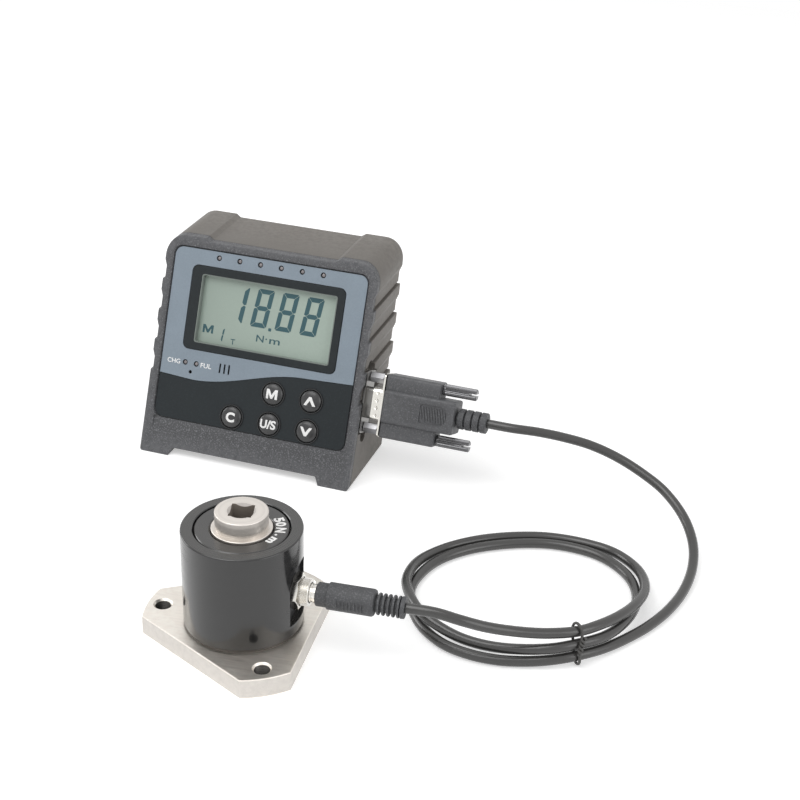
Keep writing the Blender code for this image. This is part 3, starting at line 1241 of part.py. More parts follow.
def smooth_path(route, count):
    """Return evenly spaced points on a smooth curve through a route."""
    steps = 12
    ends = [2 * route[0] - route[1], *route, 2 * route[-1] - route[-2]]
    fine = []
    for before, first, second, after in zip(ends, ends[1:], ends[2:], ends[3:]):
        for step in range(steps):
            share = step / steps
            fine.append(0.5 * (
                2 * first + (second - before) * share
                + (2 * before - 5 * first + 4 * second - after) * share**2
                + (3 * first - before - 3 * second + after) * share**3))
    fine.append(route[-1])
    lengths = [0.0]
    for first, second in zip(fine, fine[1:]):
        lengths.append(lengths[-1] + (second - first).length)
    path = []
    piece = 0
    for number in range(count):
        target = lengths[-1] * number / (count - 1)
        while piece < len(fine) - 2 and lengths[piece + 1] < target:
            piece += 1
        share = (target - lengths[piece]) / (lengths[piece + 1] - lengths[piece])
        path.append(fine[piece].lerp(fine[piece + 1], share))
    return path


def tube(points, radius, resolution):
    """Make a closed tube along a path of points."""
    curve = bpy.data.curves.new("path", "CURVE")
    curve.dimensions = "3D"
    curve.bevel_depth = radius
    curve.bevel_resolution = resolution
    curve.use_fill_caps = True
    spline = curve.splines.new("POLY")
    spline.points.add(len(points) - 1)
    for point, place in zip(spline.points, points):
        point.co = (*place, 1)
    return curve_mesh(curve)


def build_cable(port, lead):
    """Build the cable on the bench and the tie round its three strands."""
    start = port.matrix_world @ Vector((CABLE_START, 0, 0))
    start_ease = port.matrix_world @ Vector((CABLE_START + CABLE_EASE, 0, 0))
    end = lead.matrix_world @ Vector((ROUND_PLUG_END + GAP, 0, 0))
    end_ease = lead.matrix_world @ Vector((ROUND_PLUG_END + GAP + CABLE_EASE, 0, 0))
    route = [start, start_ease] + [Vector(point) for point in CABLE_ROUTE] + [end_ease, end]
    path = smooth_path(route, CABLE_POINTS)
    part("cable", tube(path, CABLE_DIAMETER / 2, 2), "cable", None)
    low, top = Vector(TIE_LOW), Vector(TIE_TOP)
    up = (top - low).normalized()
    middle = CABLE_ROUTE.index(TIE_MIDDLE)
    strand = (Vector(CABLE_ROUTE[middle + 1]) - Vector(CABLE_ROUTE[middle - 1])).normalized()
    front = up.cross(strand)
    reach = CABLE_DIAMETER / 2 + 2 * GAP + TIE_RADIUS
    knot = (low + top) / 2 + reach * front
    loop = [knot + up * TIE_KNOT / 2]
    loop += [low + reach * (x * front + y * up) for x, y in arc((0, 0), 1, 0, -math.pi, 6)]
    loop += [top + reach * (x * front + y * up) for x, y in arc((0, 0), 1, math.pi, 0, 6)]
    loop.append(knot - up * TIE_KNOT / 2)
    last = len(loop) - 1
    loop = [point + strand * TIE_STEP * (0.5 - number / last) for number, point in enumerate(loop)]
    part("cable_tie", tube(loop, TIE_RADIUS, 1), "cable", None)


clear_scene()
PARTS = new_collection("electronic_torque_tester")
CUTTERS = new_collection("cutters")

display_frame = frame("display_frame", None, DISPLAY_PLACE)
face_frame = frame("face_frame", display_frame, turn=(-FACE_LEAN, 0, 0))
port_frame = frame("port_frame", face_frame, (HALF_WIDTH, PORT_SETBACK, PORT_ROW))
sensor_frame = frame("sensor_frame", None, SENSOR_PLACE, (0, 0, SENSOR_TURN))
lead_frame = frame("lead_frame", sensor_frame, (0, 0, SOCKET_HEIGHT))
bpy.context.view_layer.update()

build_rear_case(display_frame, port_frame)
build_front_bezel(display_frame, face_frame)
build_case_screws(display_frame)
build_label_plates(face_frame)
build_display_window(face_frame)
build_buttons(face_frame)
build_lamps(face_frame)
build_electronics(display_frame, face_frame)
build_port(port_frame)
build_plug(port_frame)
build_base_plate(sensor_frame)
build_flange_screws(sensor_frame)
build_sleeve(sensor_frame)
build_shaft(sensor_frame)
build_sensor_socket(lead_frame)
build_round_plug(lead_frame)
build_cable(port_frame, lead_frame)
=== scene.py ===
"""Looks of the electronic torque tester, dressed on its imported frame.

Lengths are metres in the frame's own coordinates: +Z is up and the display faces -Y.
Each class holds the sizes of one sub-assembly, builds its meshes and dresses them.
"""

import logging
import math
from collections.abc import Iterable, Sequence
from dataclasses import dataclass
from enum import Enum

import bmesh
import bpy
from mathutils import Matrix, Vector


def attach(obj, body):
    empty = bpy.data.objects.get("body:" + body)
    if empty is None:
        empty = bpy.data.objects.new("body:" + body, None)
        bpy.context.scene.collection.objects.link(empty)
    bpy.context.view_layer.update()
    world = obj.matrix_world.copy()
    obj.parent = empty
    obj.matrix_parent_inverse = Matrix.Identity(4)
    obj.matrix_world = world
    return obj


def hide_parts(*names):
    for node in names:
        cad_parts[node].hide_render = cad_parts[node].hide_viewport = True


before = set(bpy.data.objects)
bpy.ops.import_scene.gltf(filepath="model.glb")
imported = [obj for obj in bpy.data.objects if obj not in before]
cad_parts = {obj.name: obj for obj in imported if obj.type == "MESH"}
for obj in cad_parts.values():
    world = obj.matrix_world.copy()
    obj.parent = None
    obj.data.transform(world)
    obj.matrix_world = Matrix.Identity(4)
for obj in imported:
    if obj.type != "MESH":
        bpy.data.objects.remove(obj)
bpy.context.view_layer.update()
LOG = logging.getLogger("torque_tester")

Point = tuple[float, float]
Corner = tuple[float, float, float]
Colour = tuple[float, float, float]
Box = tuple[float, float, float, float]
Form = bmesh.types.BMesh
Edge = bmesh.types.BMEdge
Piece = bpy.types.Object
Material = bpy.types.Material
Tree = bpy.types.NodeTree
Node = bpy.types.Node
Socket = bpy.types.NodeSocket

# Gap between neighbouring pieces, and how far a cutter runs past what it opens
GAP = 0.0003
OVER = 0.0010
# Corners closer than this are one, and print stands this far up
TOUCH = 0.000001
PRINT = 0.00004
# Edges that bend more than these are softened, and are shaded as edges
SHARP = math.radians(30)
CREASE = math.radians(34)
FACE_LEAN = math.radians(22.4)
BACK_LEAN = math.radians(16.0)

# Frames of the display, its leaning face, its port, the sensor and the sensor's socket
DISPLAY = Matrix.Translation((-0.0167606, 0.0423246, 0.0))
UPRIGHT = DISPLAY @ Matrix.Rotation(math.pi / 2, 4, "X")
LEANING = DISPLAY @ Matrix.Rotation(-FACE_LEAN, 4, "X")
FACE = LEANING @ Matrix.Rotation(math.pi / 2, 4, "X")
SIDEWAYS = Matrix(((0, 0, 1, 0), (1, 0, 0, 0), (0, 1, 0, 0), (0, 0, 0, 1)))
PORT = LEANING @ Matrix.Translation((0.0559, 0.0112, 0.0440)) @ SIDEWAYS
SENSOR = Matrix.Translation((0.0402394, -0.0813754, 0.0)) @ Matrix.Rotation(math.radians(5.6), 4, "Z")
LEAD_HEIGHT = 0.0268
LEAD = SENSOR @ Matrix.Translation((0, 0, LEAD_HEIGHT)) @ SIDEWAYS
# From the middle of the port to each of its two screws
PORT_SCREW = 0.012495


class Operation(Enum):
    """How one form works on another."""

    CUT = "DIFFERENCE"
    JOIN = "UNION"
    KEEP = "INTERSECT"


def new_form() -> Form:
    """Return an empty form that can mark its softened edges."""
    form = bmesh.new()
    form.verts.layers.float.new("edge")
    return form


def place(form: Form, matrix: Matrix) -> Form:
    """Move a form, and return it.

    Args:
        form: The form to move.
        matrix: Where it goes.

    Returns:
        The same form.
    """
    bmesh.ops.transform(form, matrix=matrix, verts=form.verts)
    return form


def shift(x: float = 0.0, y: float = 0.0, z: float = 0.0) -> Matrix:
    """Return a move along the axes."""
    return Matrix.Translation((x, y, z))


def arc(x: float, y: float, radius: float, start: float, sweep: float, steps: int) -> list[Point]:
    """Return the points of an arc.

    Args:
        x: Its middle, across.
        y: Its middle, up.
        radius: Its radius.
        start: The angle that it starts at.
        sweep: The angle that it turns through.
        steps: How many steps it takes.

    Returns:
        The points, with both ends.
    """
    angles = [start + sweep * step / steps for step in range(steps + 1)]
    return [(x + radius * math.cos(angle), y + radius * math.sin(angle)) for angle in angles]


def fillet(corners: Sequence[Corner]) -> list[Point]:
    """Round the corners of an anticlockwise outline.

    Args:
        corners: The corners, each as x, y and the radius that it gets.

    Returns:
        The points of the rounded outline.
    """
    points: list[Point] = []
    for number, (x, y, radius) in enumerate(corners):
        if radius == 0:
            points.append((x, y))
            continue
        here = Vector((x, y))
        before = (Vector(corners[number - 1][:2]) - here).normalized()
        after = (Vector(corners[(number + 1) % len(corners)][:2]) - here).normalized()
        half = before.angle(after) / 2
        centre = here + (before + after).normalized() * radius / math.sin(half)
        first = here + before * radius / math.tan(half) - centre
        start = math.atan2(first.y, first.x)
        sweep = math.copysign(math.pi - 2 * half, -before.cross(after))
        points += arc(centre.x, centre.y, radius, start, sweep, 3 + int(radius / 0.0008))
    return points


def rectangle(left: float, right: float, bottom: float, top: float, radius: float = 0.0) -> list[Point]:
    """Return the outline of a rectangle with rounded corners."""
    corners = [(left, bottom), (right, bottom), (right, top), (left, top)]
    return fillet([(x, y, radius) for x, y in corners])


def grown(box: Box, margin: float) -> Box:
    """Return a box of left, right, bottom and top that is wider by a margin all round."""
    left, right, bottom, top = box
    return left - margin, right + margin, bottom - margin, top + margin


def circle(x: float, y: float, radius: float, sides: int = 32) -> list[Point]:
    """Return the outline of a circle."""
    return arc(x, y, radius, 0, 2 * math.pi, sides)[:-1]


def sheet(loops: Sequence[Sequence[Point]]) -> Form:
    """Fill an outline and its holes, flat in XY.

    Args:
        loops: The outline first, then one loop for each hole.

    Returns:
        The filled form.
    """
    form = new_form()
    for loop in loops:
        corners = [form.verts.new((*point, 0)) for point in loop]
        for first, second in zip(corners, corners[1:] + corners[:1]):
            form.edges.new((first, second))
    if len(loops) == 1:
        bmesh.ops.contextual_create(form, geom=form.edges[:])
    else:
        bmesh.ops.triangle_fill(form, use_beauty=True, use_dissolve=False, edges=form.edges[:])
    return form


def thicken(form: Form, matrix: Matrix) -> Form:
    """Extrude a sheet into a solid.

    Args:
        form: The sheet.
        matrix: What takes the sheet to the solid's far side.

    Returns:
        The same form, as a closed solid.
    """
    made = bmesh.ops.extrude_face_region(form, geom=form.faces[:])
    moved = [item for item in made["geom"] if isinstance(item, bmesh.types.BMVert)]
    bmesh.ops.transform(form, matrix=matrix, verts=moved)
    bmesh.ops.recalc_face_normals(form, faces=form.faces)
    return form


def slab(loops: Sequence[Sequence[Point]], low: float, high: float) -> Form:
    """Return a plate of an outline and its holes, from one height to another."""
    form = place(sheet(loops), shift(z=low))
    return thicken(form, shift(z=high - low))


def lathe(outline: Sequence[Point], sides: int = 64, ring: bool = False) -> Form:
    """Spin an outline about the Z axis.

    Args:
        outline: Points of radius and height.
        sides: How many sides the round has.
        ring: Whether the outline closes on itself, clear of the axis.

    Returns:
        The turned form.
    """
    form = new_form()
    corners = [form.verts.new((radius, 0, height)) for radius, height in outline]
    edges = [form.edges.new(pair) for pair in zip(corners, corners[1:])]
    if ring:
        edges.append(form.edges.new((corners[-1], corners[0])))
    bmesh.ops.spin(
        form, geom=corners + edges, cent=(0, 0, 0), axis=(0, 0, 1), dvec=(0, 0, 0),
        angle=2 * math.pi, space=Matrix(), steps=sides, use_merge=True,
        use_normal_flip=False, use_duplicate=False)
    bmesh.ops.remove_doubles(form, verts=form.verts, dist=TOUCH)
    bmesh.ops.recalc_face_normals(form, faces=form.faces)
    return form


def rod(radius: float, low: float, high: float, centre: Point = (0, 0), sides: int = 32) -> Form:
    """Return a round rod along Z."""
    return slab([circle(*centre, radius, sides)], low, high)


def cone(low_radius: float, high_radius: float, low: float, high: float, centre: Point = (0, 0)) -> Form:
    """Return a cone along Z that is cut off square at both ends."""
    form = lathe([(0, high), (high_radius, high), (low_radius, low), (0, low)], 32)
    return place(form, shift(*centre))


def soften(form: Form, width: float, edges: Iterable[Edge] | None = None,
           segments: int = 3) -> Form:
    """Round edges of a form, and mark them for the finishes.

    Args:
        form: The form.
        width: How far in the rounding starts.
        edges: The edges, or none for every edge sharper than 30 degrees.
        segments: How many steps the rounding has.

    Returns:
        The same form.
    """
    if edges is None:
        edges = [edge for edge in form.edges if edge.calc_face_angle(0) > SHARP]
    made = bmesh.ops.bevel(
        form, geom=list(edges), offset=width, offset_type="OFFSET", affect="EDGES",
        segments=segments, profile=0.5, material=-1, clamp_overlap=True, loop_slide=True)
    layer = form.verts.layers.float["edge"]
    for face in made["faces"]:
        for corner in face.verts:
            corner[layer] = 1.0
    return form


def edges_on(form: Form, plane: Matrix) -> list[Edge]:
    """Return the edges that lie in the XY plane of a matrix."""
    level = plane.inverted()
    return [edge for edge in form.edges
            if all(abs((level @ corner.co).z) < TOUCH for corner in edge.verts)]


def rim(form: Form, height: float) -> list[Edge]:
    """Return the sharp edges that lie flat at a height."""
    return [edge for edge in edges_on(form, shift(z=height)) if edge.calc_face_angle(0) > SHARP]


def show(name: str, data: bpy.types.ID) -> Piece:
    """Make an object of its data, and link it to the scene."""
    made = bpy.data.objects.new(name, data)
    bpy.context.scene.collection.objects.link(made)
    return made


def mesh_of(name: str, form: Form) -> bpy.types.Mesh:
    """Return the mesh of a form, which is used up."""
    mesh = bpy.data.meshes.new(name)
    form.to_mesh(mesh)
    form.free()
    return mesh


def combine(form: Form, others: Sequence[Form], operation: Operation = Operation.CUT) -> Form:
    """Cut, join or keep a form by others, which are used up.

    Args:
        form: The form that is worked on.
        others: The forms that work on it.
        operation: What they do.

    Returns:
        The result, as a new form.
    """
    base = show("helper", mesh_of("helper", form))
    guides = [show("helper", mesh_of("helper", other)) for other in others]
    for guide in guides:
        step = base.modifiers.new("combine", "BOOLEAN")
        step.operation = operation.value
        step.object = guide
    bpy.context.view_layer.update()
    result = bmesh.new()
    result.from_object(base, bpy.context.evaluated_depsgraph_get())
    if "edge" not in result.verts.layers.float:
        result.verts.layers.float.new("edge")
    for helper in [base, *guides]:
        mesh = helper.data
        bpy.data.objects.remove(helper, do_unlink=True)
        bpy.data.meshes.remove(mesh)
    return result


def merged(forms: Sequence[Form]) -> Form:
    """Gather forms, which are used up, into one without joining their solids."""
    result = new_form()
    for form in forms:
        mesh = mesh_of("part", form)
        result.from_mesh(mesh)
        bpy.data.meshes.remove(mesh)
    return result


def nut(flat: float, low: float, high: float, chamfer: Form, bore: Form) -> Form:
    """Return a hexagonal nut.

    Args:
        flat: The distance from its axis to each flat.
        low: Its lower end.
        high: Its upper end.
        chamfer: The round form that takes its corners off, which is used up.
        bore: The form that opens it, which is used up.

    Returns:
        The nut.
    """
    blank = slab([circle(0, 0, flat / math.cos(math.pi / 6), 6)], low, high)
    return combine(combine(blank, [chamfer], Operation.KEEP), [bore])


def ring(radius: float, neck: float, top: float, thick: float, end: float) -> list[Point]:
    """Return the outline of one ring of a strain relief, from its top down to the next.

    Args:
        radius: The ring's radius.
        neck: The radius under it.
        top: Its upper height.
        thick: How thick it is.
        end: Where the neck under it ends.

    Returns:
        The points, with rounded edges.
    """
    ease = 0.0002
    low = top - thick
    return [(radius - ease, top), (radius, top - ease), (radius, low + ease), (radius - ease, low),
            (neck, low), (neck, end)]


def lettering(text: str, left: float, right: float, bottom: float, top: float, weight: float) -> Form:
    """Print characters that fill a box.

    Args:
        text: The characters.
        left: The box's left side.
        right: Its right side.
        bottom: Its lower side.
        top: Its upper side.
        weight: How much bolder than the plain face they are, from 0 to 0.05.

    Returns:
        The print, standing on XY.
    """
    curve = bpy.data.curves.new("letters", "FONT")
    curve.body = text
    curve.offset = weight
    curve.resolution_u = 6
    holder = show("letters", curve)
    bpy.context.view_layer.update()
    graph = bpy.context.evaluated_depsgraph_get()
    mesh = bpy.data.meshes.new_from_object(holder.evaluated_get(graph))
    bpy.data.objects.remove(holder, do_unlink=True)
    bpy.data.curves.remove(curve)
    form = new_form()
    form.from_mesh(mesh)
    bpy.data.meshes.remove(mesh)
    bmesh.ops.remove_doubles(form, verts=form.verts, dist=0.0001)
    xs = [corner.co.x for corner in form.verts]
    ys = [corner.co.y for corner in form.verts]
    across = (right - left) / (max(xs) - min(xs))
    up = (top - bottom) / (max(ys) - min(ys))
    scale = Matrix.Diagonal((across, up, 1, 1))
    place(form, shift(left, bottom) @ scale @ shift(-min(xs), -min(ys)))
    return thicken(form, shift(z=PRINT))


def letter_m(left: float, right: float, bottom: float, top: float, bar: float) -> Form:
    """Print a capital M of straight strokes that fills a box.

    Args:
        left: The box's left side.
        right: Its right side.
        bottom: Its lower side.
        top: Its upper side.
        bar: How thick the strokes are.

    Returns:
        The print, standing on XY.
    """
    wide, high = right - left, top - bottom
    half = wide / 2
    strokes = [
        (0, 0), (bar, 0), (bar, 0.60 * high), (half - 0.40 * bar, 0.04 * high),
        (half + 0.40 * bar, 0.04 * high), (wide - bar, 0.60 * high), (wide - bar, 0), (wide, 0),
        (wide, high), (wide - 1.2 * bar, high), (half, 0.42 * high), (1.2 * bar, high), (0, high),
    ]
    form = sheet([[(left + x, bottom + y) for x, y in strokes]])
    return thicken(form, shift(z=PRINT))


def smooth_path(route: Sequence[Vector], count: int) -> list[Vector]:
    """Return evenly spaced points on a smooth curve through a route.

    Args:
        route: The points that the curve goes through.
        count: How many points come back.

    Returns:
        The points, from one end to the other.
    """
    steps = 12
    ends = [2 * route[0] - route[1], *route, 2 * route[-1] - route[-2]]
    fine: list[Vector] = []
    for before, first, second, after in zip(ends, ends[1:], ends[2:], ends[3:]):
        for step in range(steps):
            share = step / steps
            fine.append(0.5 * (
                2 * first + (second - before) * share
                + (2 * before - 5 * first + 4 * second - after) * share**2
                + (3 * first - before - 3 * second + after) * share**3))
    fine.append(route[-1])
    lengths = [0.0]
    for first, second in zip(fine, fine[1:]):
        lengths.append(lengths[-1] + (second - first).length)
    path: list[Vector] = []
    piece = 0
    for number in range(count):
        target = lengths[-1] * number / (count - 1)
        while piece < len(fine) - 2 and lengths[piece + 1] < target:
            piece += 1
        share = (target - lengths[piece]) / (lengths[piece + 1] - lengths[piece])
        path.append(fine[piece].lerp(fine[piece + 1], share))
    return path


def wire(name: str, path: Sequence[Vector], radius: float, resolution: int = 6) -> Piece:
    """Make a round wire along a path, as a curve.

    Args:
        name: The piece's name.
        path: The points of its middle.
        radius: Half its thickness.
        resolution: How round it is.

    Returns:
        The curve's object.
    """
    curve = bpy.data.curves.new(name, "CURVE")
    curve.dimensions = "3D"
    curve.bevel_depth = radius
    curve.bevel_resolution = resolution
    curve.use_fill_caps = True
    spline = curve.splines.new("POLY")
    spline.points.add(len(path) - 1)
    for point, spot in zip(spline.points, path):
        point.co = (*spot, 1)
    return show(name, curve)


class Graph:
    """A node tree that is built node by node."""

    def __init__(self, tree: Tree) -> None:
        """Keep the tree."""
        self.tree = tree

    def node(self, kind: str, settings: dict[str, object] | None = None, **inputs: object) -> Node:
        """Add a node.

        Args:
            kind: The node's type.
            settings: Values of its own properties.
            **inputs: Sockets or values for its inputs, with _ for a space.

        Returns:
            The node.
        """
        made = self.tree.nodes.new(kind)
        for name, value in (settings or {}).items():
            setattr(made, name, value)
        self.fill(made, **inputs)
        return made

    def fill(self, node: Node, **inputs: object) -> None:
        """Feed a node's inputs by their names, with _ for a space."""
        for name, value in inputs.items():
            self.feed(node.inputs[name.replace("_", " ")], value)

    def feed(self, socket: Socket, value: object) -> None:
        """Link a socket's source, or set its value."""
        if isinstance(value, Socket):
            self.tree.links.new(value, socket)
        else:
            socket.default_value = value

    def math(self, operation: str, first: object, second: object = 0.0) -> Socket:
        """Return the result of a sum on two values."""
        made = self.node("ShaderNodeMath", {"operation": operation})
        self.feed(made.inputs[0], first)
        self.feed(made.inputs[1], second)
        return made.outputs[0]

    def scale(self, value: object, low: float, high: float, start: float = 0.0,
              end: float = 1.0) -> Socket:
        """Return a value moved from one range to another, and kept inside it."""
        made = self.node("ShaderNodeMapRange", Value=value, From_Min=start, From_Max=end, To_Min=low,
                         To_Max=high)
        return made.outputs[0]

    def spread(self, noise: object, low: float = 0.0, high: float = 1.0) -> Socket:
        """Return a noise with its middle values spread over a range."""
        return self.scale(noise, low, high, 0.3, 0.7)

    def mix(self, share: object, first: object, second: object) -> Socket:
        """Return a colour between two others."""
        made = self.node("ShaderNodeMix", {"data_type": "RGBA"})
        self.feed(made.inputs[0], share)
        self.feed(made.inputs[6], first)
        self.feed(made.inputs[7], second)
        return made.outputs[2]

    def noise(self, vector: object, scale: object, detail: float = 2.0) -> Socket:
        """Return a noise value."""
        return self.node("ShaderNodeTexNoise", Vector=vector, Scale=scale, Detail=detail).outputs["Fac"]

    def effect(self, group: Tree, vector: object, **values: float) -> Node:
        """Place one of the shared groups, with its values."""
        return self.node("ShaderNodeGroup", {"node_tree": group}, Vector=vector, **values)

    def bump(self, shader: Node, height: object, distance: float) -> None:
        """Feed a height to a shader's normal."""
        made = self.node("ShaderNodeBump", Height=height, Distance=distance, Strength=1.0)
        self.fill(shader, Normal=made.outputs["Normal"])


class Effect:
    """Shader node groups that the finishes share."""

    def __init__(self) -> None:
        """Build every group once."""
        self.grain = self.build_grain()
        self.flecks_and_sparkle = self.build_flecks_and_sparkle()
        self.wear_and_highlight_mask = self.build_wear_and_highlight()
        self.handling = self.build_handling()
        self.turning = self.build_turning()
        self.brushing = self.build_brushing()

    def group(self, name: str, values: dict[str, float],
              results: Sequence[str]) -> tuple[Tree, Graph, Node, Node]:
        """Start a group that takes a vector and some values.

        Args:
            name: The group's name.
            values: The names of its values and what they are at first.
            results: The names of its outputs.

        Returns:
            The group, its graph, its input node and its output node.
        """
        tree = bpy.data.node_groups.new(name, "ShaderNodeTree")
        tree.interface.new_socket("Vector", in_out="INPUT", socket_type="NodeSocketVector")
        for value, start in values.items():
            socket = tree.interface.new_socket(value, in_out="INPUT", socket_type="NodeSocketFloat")
            socket.default_value = start
        for result in results:
            tree.interface.new_socket(result, in_out="OUTPUT", socket_type="NodeSocketFloat")
        return tree, Graph(tree), tree.nodes.new("NodeGroupInput"), tree.nodes.new("NodeGroupOutput")

    def build_grain(self) -> Tree:
        """Build the fine grain of a mould, with softer patches in it."""
        tree, graph, source, result = self.group("mould_grain", {"Scale": 2400.0}, ["Height", "Patches"])
        where, scale = source.outputs["Vector"], source.outputs["Scale"]
        fine = graph.noise(where, scale, 3.0)
        coarse = graph.noise(where, graph.math("MULTIPLY", scale, 0.35))
        graph.fill(result, Height=graph.math("MULTIPLY", graph.math("ADD", fine, coarse), 0.5),
                   Patches=graph.noise(where, 70.0, 4.0))
        return tree

    def build_flecks_and_sparkle(self) -> Tree:
        """Build pale specks of a rough plastic: its own speckle, and painted sparkle for light glinting on
        its grain.
        """
        tree, graph, source, result = self.group("flecks_and_sparkle", {"Scale": 1500.0}, ["Mask"])
        fine = graph.noise(source.outputs["Vector"], source.outputs["Scale"], 1.0)
        graph.fill(result, Mask=graph.scale(fine, 0.0, 1.0, 0.52, 0.74))
        return tree

    def build_wear_and_highlight(self) -> Tree:
        """Build the lighter look of softened edges: rubbed wear, and a painted highlight where an edge
        catches the light.
        """
        tree, graph, source, result = self.group("edge_wear_and_painted_highlight", {"Amount": 0.5}, ["Mask"])
        marked = graph.node("ShaderNodeAttribute", {"attribute_name": "edge"}).outputs["Fac"]
        uneven = graph.scale(graph.noise(source.outputs["Vector"], 420.0, 4.0), 0.25, 1.0, 0.35, 0.62)
        rubbed = graph.math("MULTIPLY", marked, uneven)
        graph.fill(result, Mask=graph.math("MULTIPLY", rubbed, source.outputs["Amount"]))
        return tree

    def build_handling(self) -> Tree:
        """Build the faint smudges that handling leaves."""
        tree, graph, source, result = self.group("handling", {"Amount": 0.1}, ["Offset"])
        smudges = graph.spread(graph.noise(source.outputs["Vector"], 38.0, 5.0), -1.0, 1.0)
        graph.fill(result, Offset=graph.math("MULTIPLY", smudges, source.outputs["Amount"]))
        return tree

    def build_turning(self) -> Tree:
        """Build the rings that a lathe leaves round the Z axis."""
        tree, graph, source, result = self.group("turning_rings", {"Scale": 1300.0}, ["Height"])
        flat = graph.node("ShaderNodeVectorMath", {"operation": "MULTIPLY"})
        graph.feed(flat.inputs[0], source.outputs["Vector"])
        flat.inputs[1].default_value = (1.0, 1.0, 0.35)
        length = graph.node("ShaderNodeVectorMath", {"operation": "LENGTH"})
        graph.feed(length.inputs[0], flat.outputs[0])
        rings = graph.node("ShaderNodeTexNoise", {"noise_dimensions": "1D"}, Detail=2.0,
                           W=length.outputs["Value"], Scale=source.outputs["Scale"])
        graph.fill(result, Height=rings.outputs["Fac"])
        return tree

    def build_brushing(self) -> Tree:
        """Build the fine lines of a ground or brushed surface, along X."""
        tree, graph, source, result = self.group("brushing", {"Scale": 2600.0}, ["Height"])
        stretch = graph.node("ShaderNodeMapping", Vector=source.outputs["Vector"], Scale=(0.04, 1.0, 1.0))
        graph.fill(result, Height=graph.noise(stretch.outputs[0], source.outputs["Scale"], 3.0))
        return tree


@dataclass(frozen=True)
class Finish:
    """A material: its base values and where its pattern is centred."""

    name: str
    colour: Colour
    roughness: float
    middle: Matrix = Matrix()

    def start(self) -> tuple[Material, Graph, Node, Socket]:
        """Make the material and its pattern's coordinates.

        Returns:
            The material, its graph, its shader and the coordinates.
        """
        material = bpy.data.materials.new(self.name)
        material.use_nodes = True
        material.diffuse_color = (*self.colour, 1)
        graph = Graph(material.node_tree)
        shader = material.node_tree.nodes["Principled BSDF"]
        graph.fill(shader, Base_Color=(*self.colour, 1), Roughness=self.roughness)
        where = graph.node("ShaderNodeTexCoord").outputs["Object"]
        there, turn, _ = self.middle.inverted().decompose()
        mapping = graph.node("ShaderNodeMapping", Vector=where, Location=there, Rotation=turn.to_euler())
        return material, graph, shader, mapping.outputs[0]

    def tinted(self, share: float) -> tuple[float, float, float, float]:
        """Return the base colour made lighter or darker by a share."""
        return (*[min(1.0, value * share) for value in self.colour], 1.0)


@dataclass(frozen=True)
class Moulded(Finish):
    """Moulded plastic or rubber with a fine grain."""

    grain: float = 2400.0
    relief: float = 0.00003
    flecks_and_sparkle: float = 0.0
    wear_and_highlight: float = 0.35
    smudges: float = 0.06
    sheen: float = 0.5

    def make(self, effect: Effect) -> Material:
        """Return the material, built from the shared effects."""
        material, graph, shader, vector = self.start()
        grain = graph.effect(effect.grain, vector, Scale=self.grain)
        wear_and_highlight_mask = graph.effect(effect.wear_and_highlight_mask, vector, Amount=self.wear_and_highlight).outputs["Mask"]
        smudge = graph.effect(effect.handling, vector, Amount=self.smudges).outputs["Offset"]
        mottled = graph.mix(graph.spread(grain.outputs["Patches"]), self.tinted(0.93), self.tinted(1.07))
        fine = graph.mix(graph.spread(grain.outputs["Height"]), self.tinted(0.86), self.tinted(1.14))
        colour = graph.mix(0.5, mottled, fine)
        if self.flecks_and_sparkle > 0:
            # Pale specks: the plastic's own speckle, and painted sparkle that stands in for light glinting
            # on its grain
            fleck_and_glint = graph.effect(effect.flecks_and_sparkle, vector, Scale=self.grain * 0.55).outputs["Mask"]
            colour = graph.mix(graph.math("MULTIPLY", fleck_and_glint, self.flecks_and_sparkle), colour, self.tinted(3.2))
        rough = graph.math("ADD", smudge, self.roughness)
        rough = graph.math("SUBTRACT", rough, graph.math("MULTIPLY", wear_and_highlight_mask, 0.15))
        # Softened edges are painted lighter: rubbed wear, and on the bezel also a painted highlight on its
        # rounded edge
        graph.fill(shader, Base_Color=graph.mix(wear_and_highlight_mask, colour, self.tinted(1.9)), Roughness=rough,
                   Specular_IOR_Level=self.sheen)
        graph.bump(shader, grain.outputs["Height"], self.relief)
        return material


class Marks(Enum):
    """The marks that the last tool left on a metal."""

    TURNED = "turned"
    BRUSHED = "brushed"
    PLAIN = "plain"


@dataclass(frozen=True)
class Metal(Finish):
    """Bare, plated or anodised metal."""

    marks: Marks = Marks.PLAIN
    relief: float = 0.000004
    metallic: float = 1.0
    coat: float = 0.0
    wear_and_highlight: float = 0.3
    sheen: float = 0.5

    def make(self, effect: Effect) -> Material:
        """Return the material, built from the shared effects."""
        material, graph, shader, vector = self.start()
        wear_and_highlight_mask = graph.effect(effect.wear_and_highlight_mask, vector, Amount=self.wear_and_highlight).outputs["Mask"]
        smudge = graph.effect(effect.handling, vector, Amount=0.07).outputs["Offset"]
        if self.marks is Marks.TURNED:
            height = graph.effect(effect.turning, vector).outputs["Height"]
        elif self.marks is Marks.BRUSHED:
            height = graph.effect(effect.brushing, vector).outputs["Height"]
        else:
            height = graph.effect(effect.grain, vector, Scale=3200.0).outputs["Height"]
        toned = graph.mix(graph.spread(height), self.tinted(0.93), self.tinted(1.05))
        rough = graph.math("ADD", graph.spread(height, -0.04, 0.04), self.roughness)
        graph.fill(shader, Base_Color=graph.mix(wear_and_highlight_mask, toned, self.tinted(1.3)),
                   Roughness=graph.math("ADD", rough, smudge), Metallic=self.metallic,
                   Specular_IOR_Level=self.sheen, Coat_Weight=self.coat, Coat_Roughness=0.08)
        graph.bump(shader, height, self.relief)
        return material


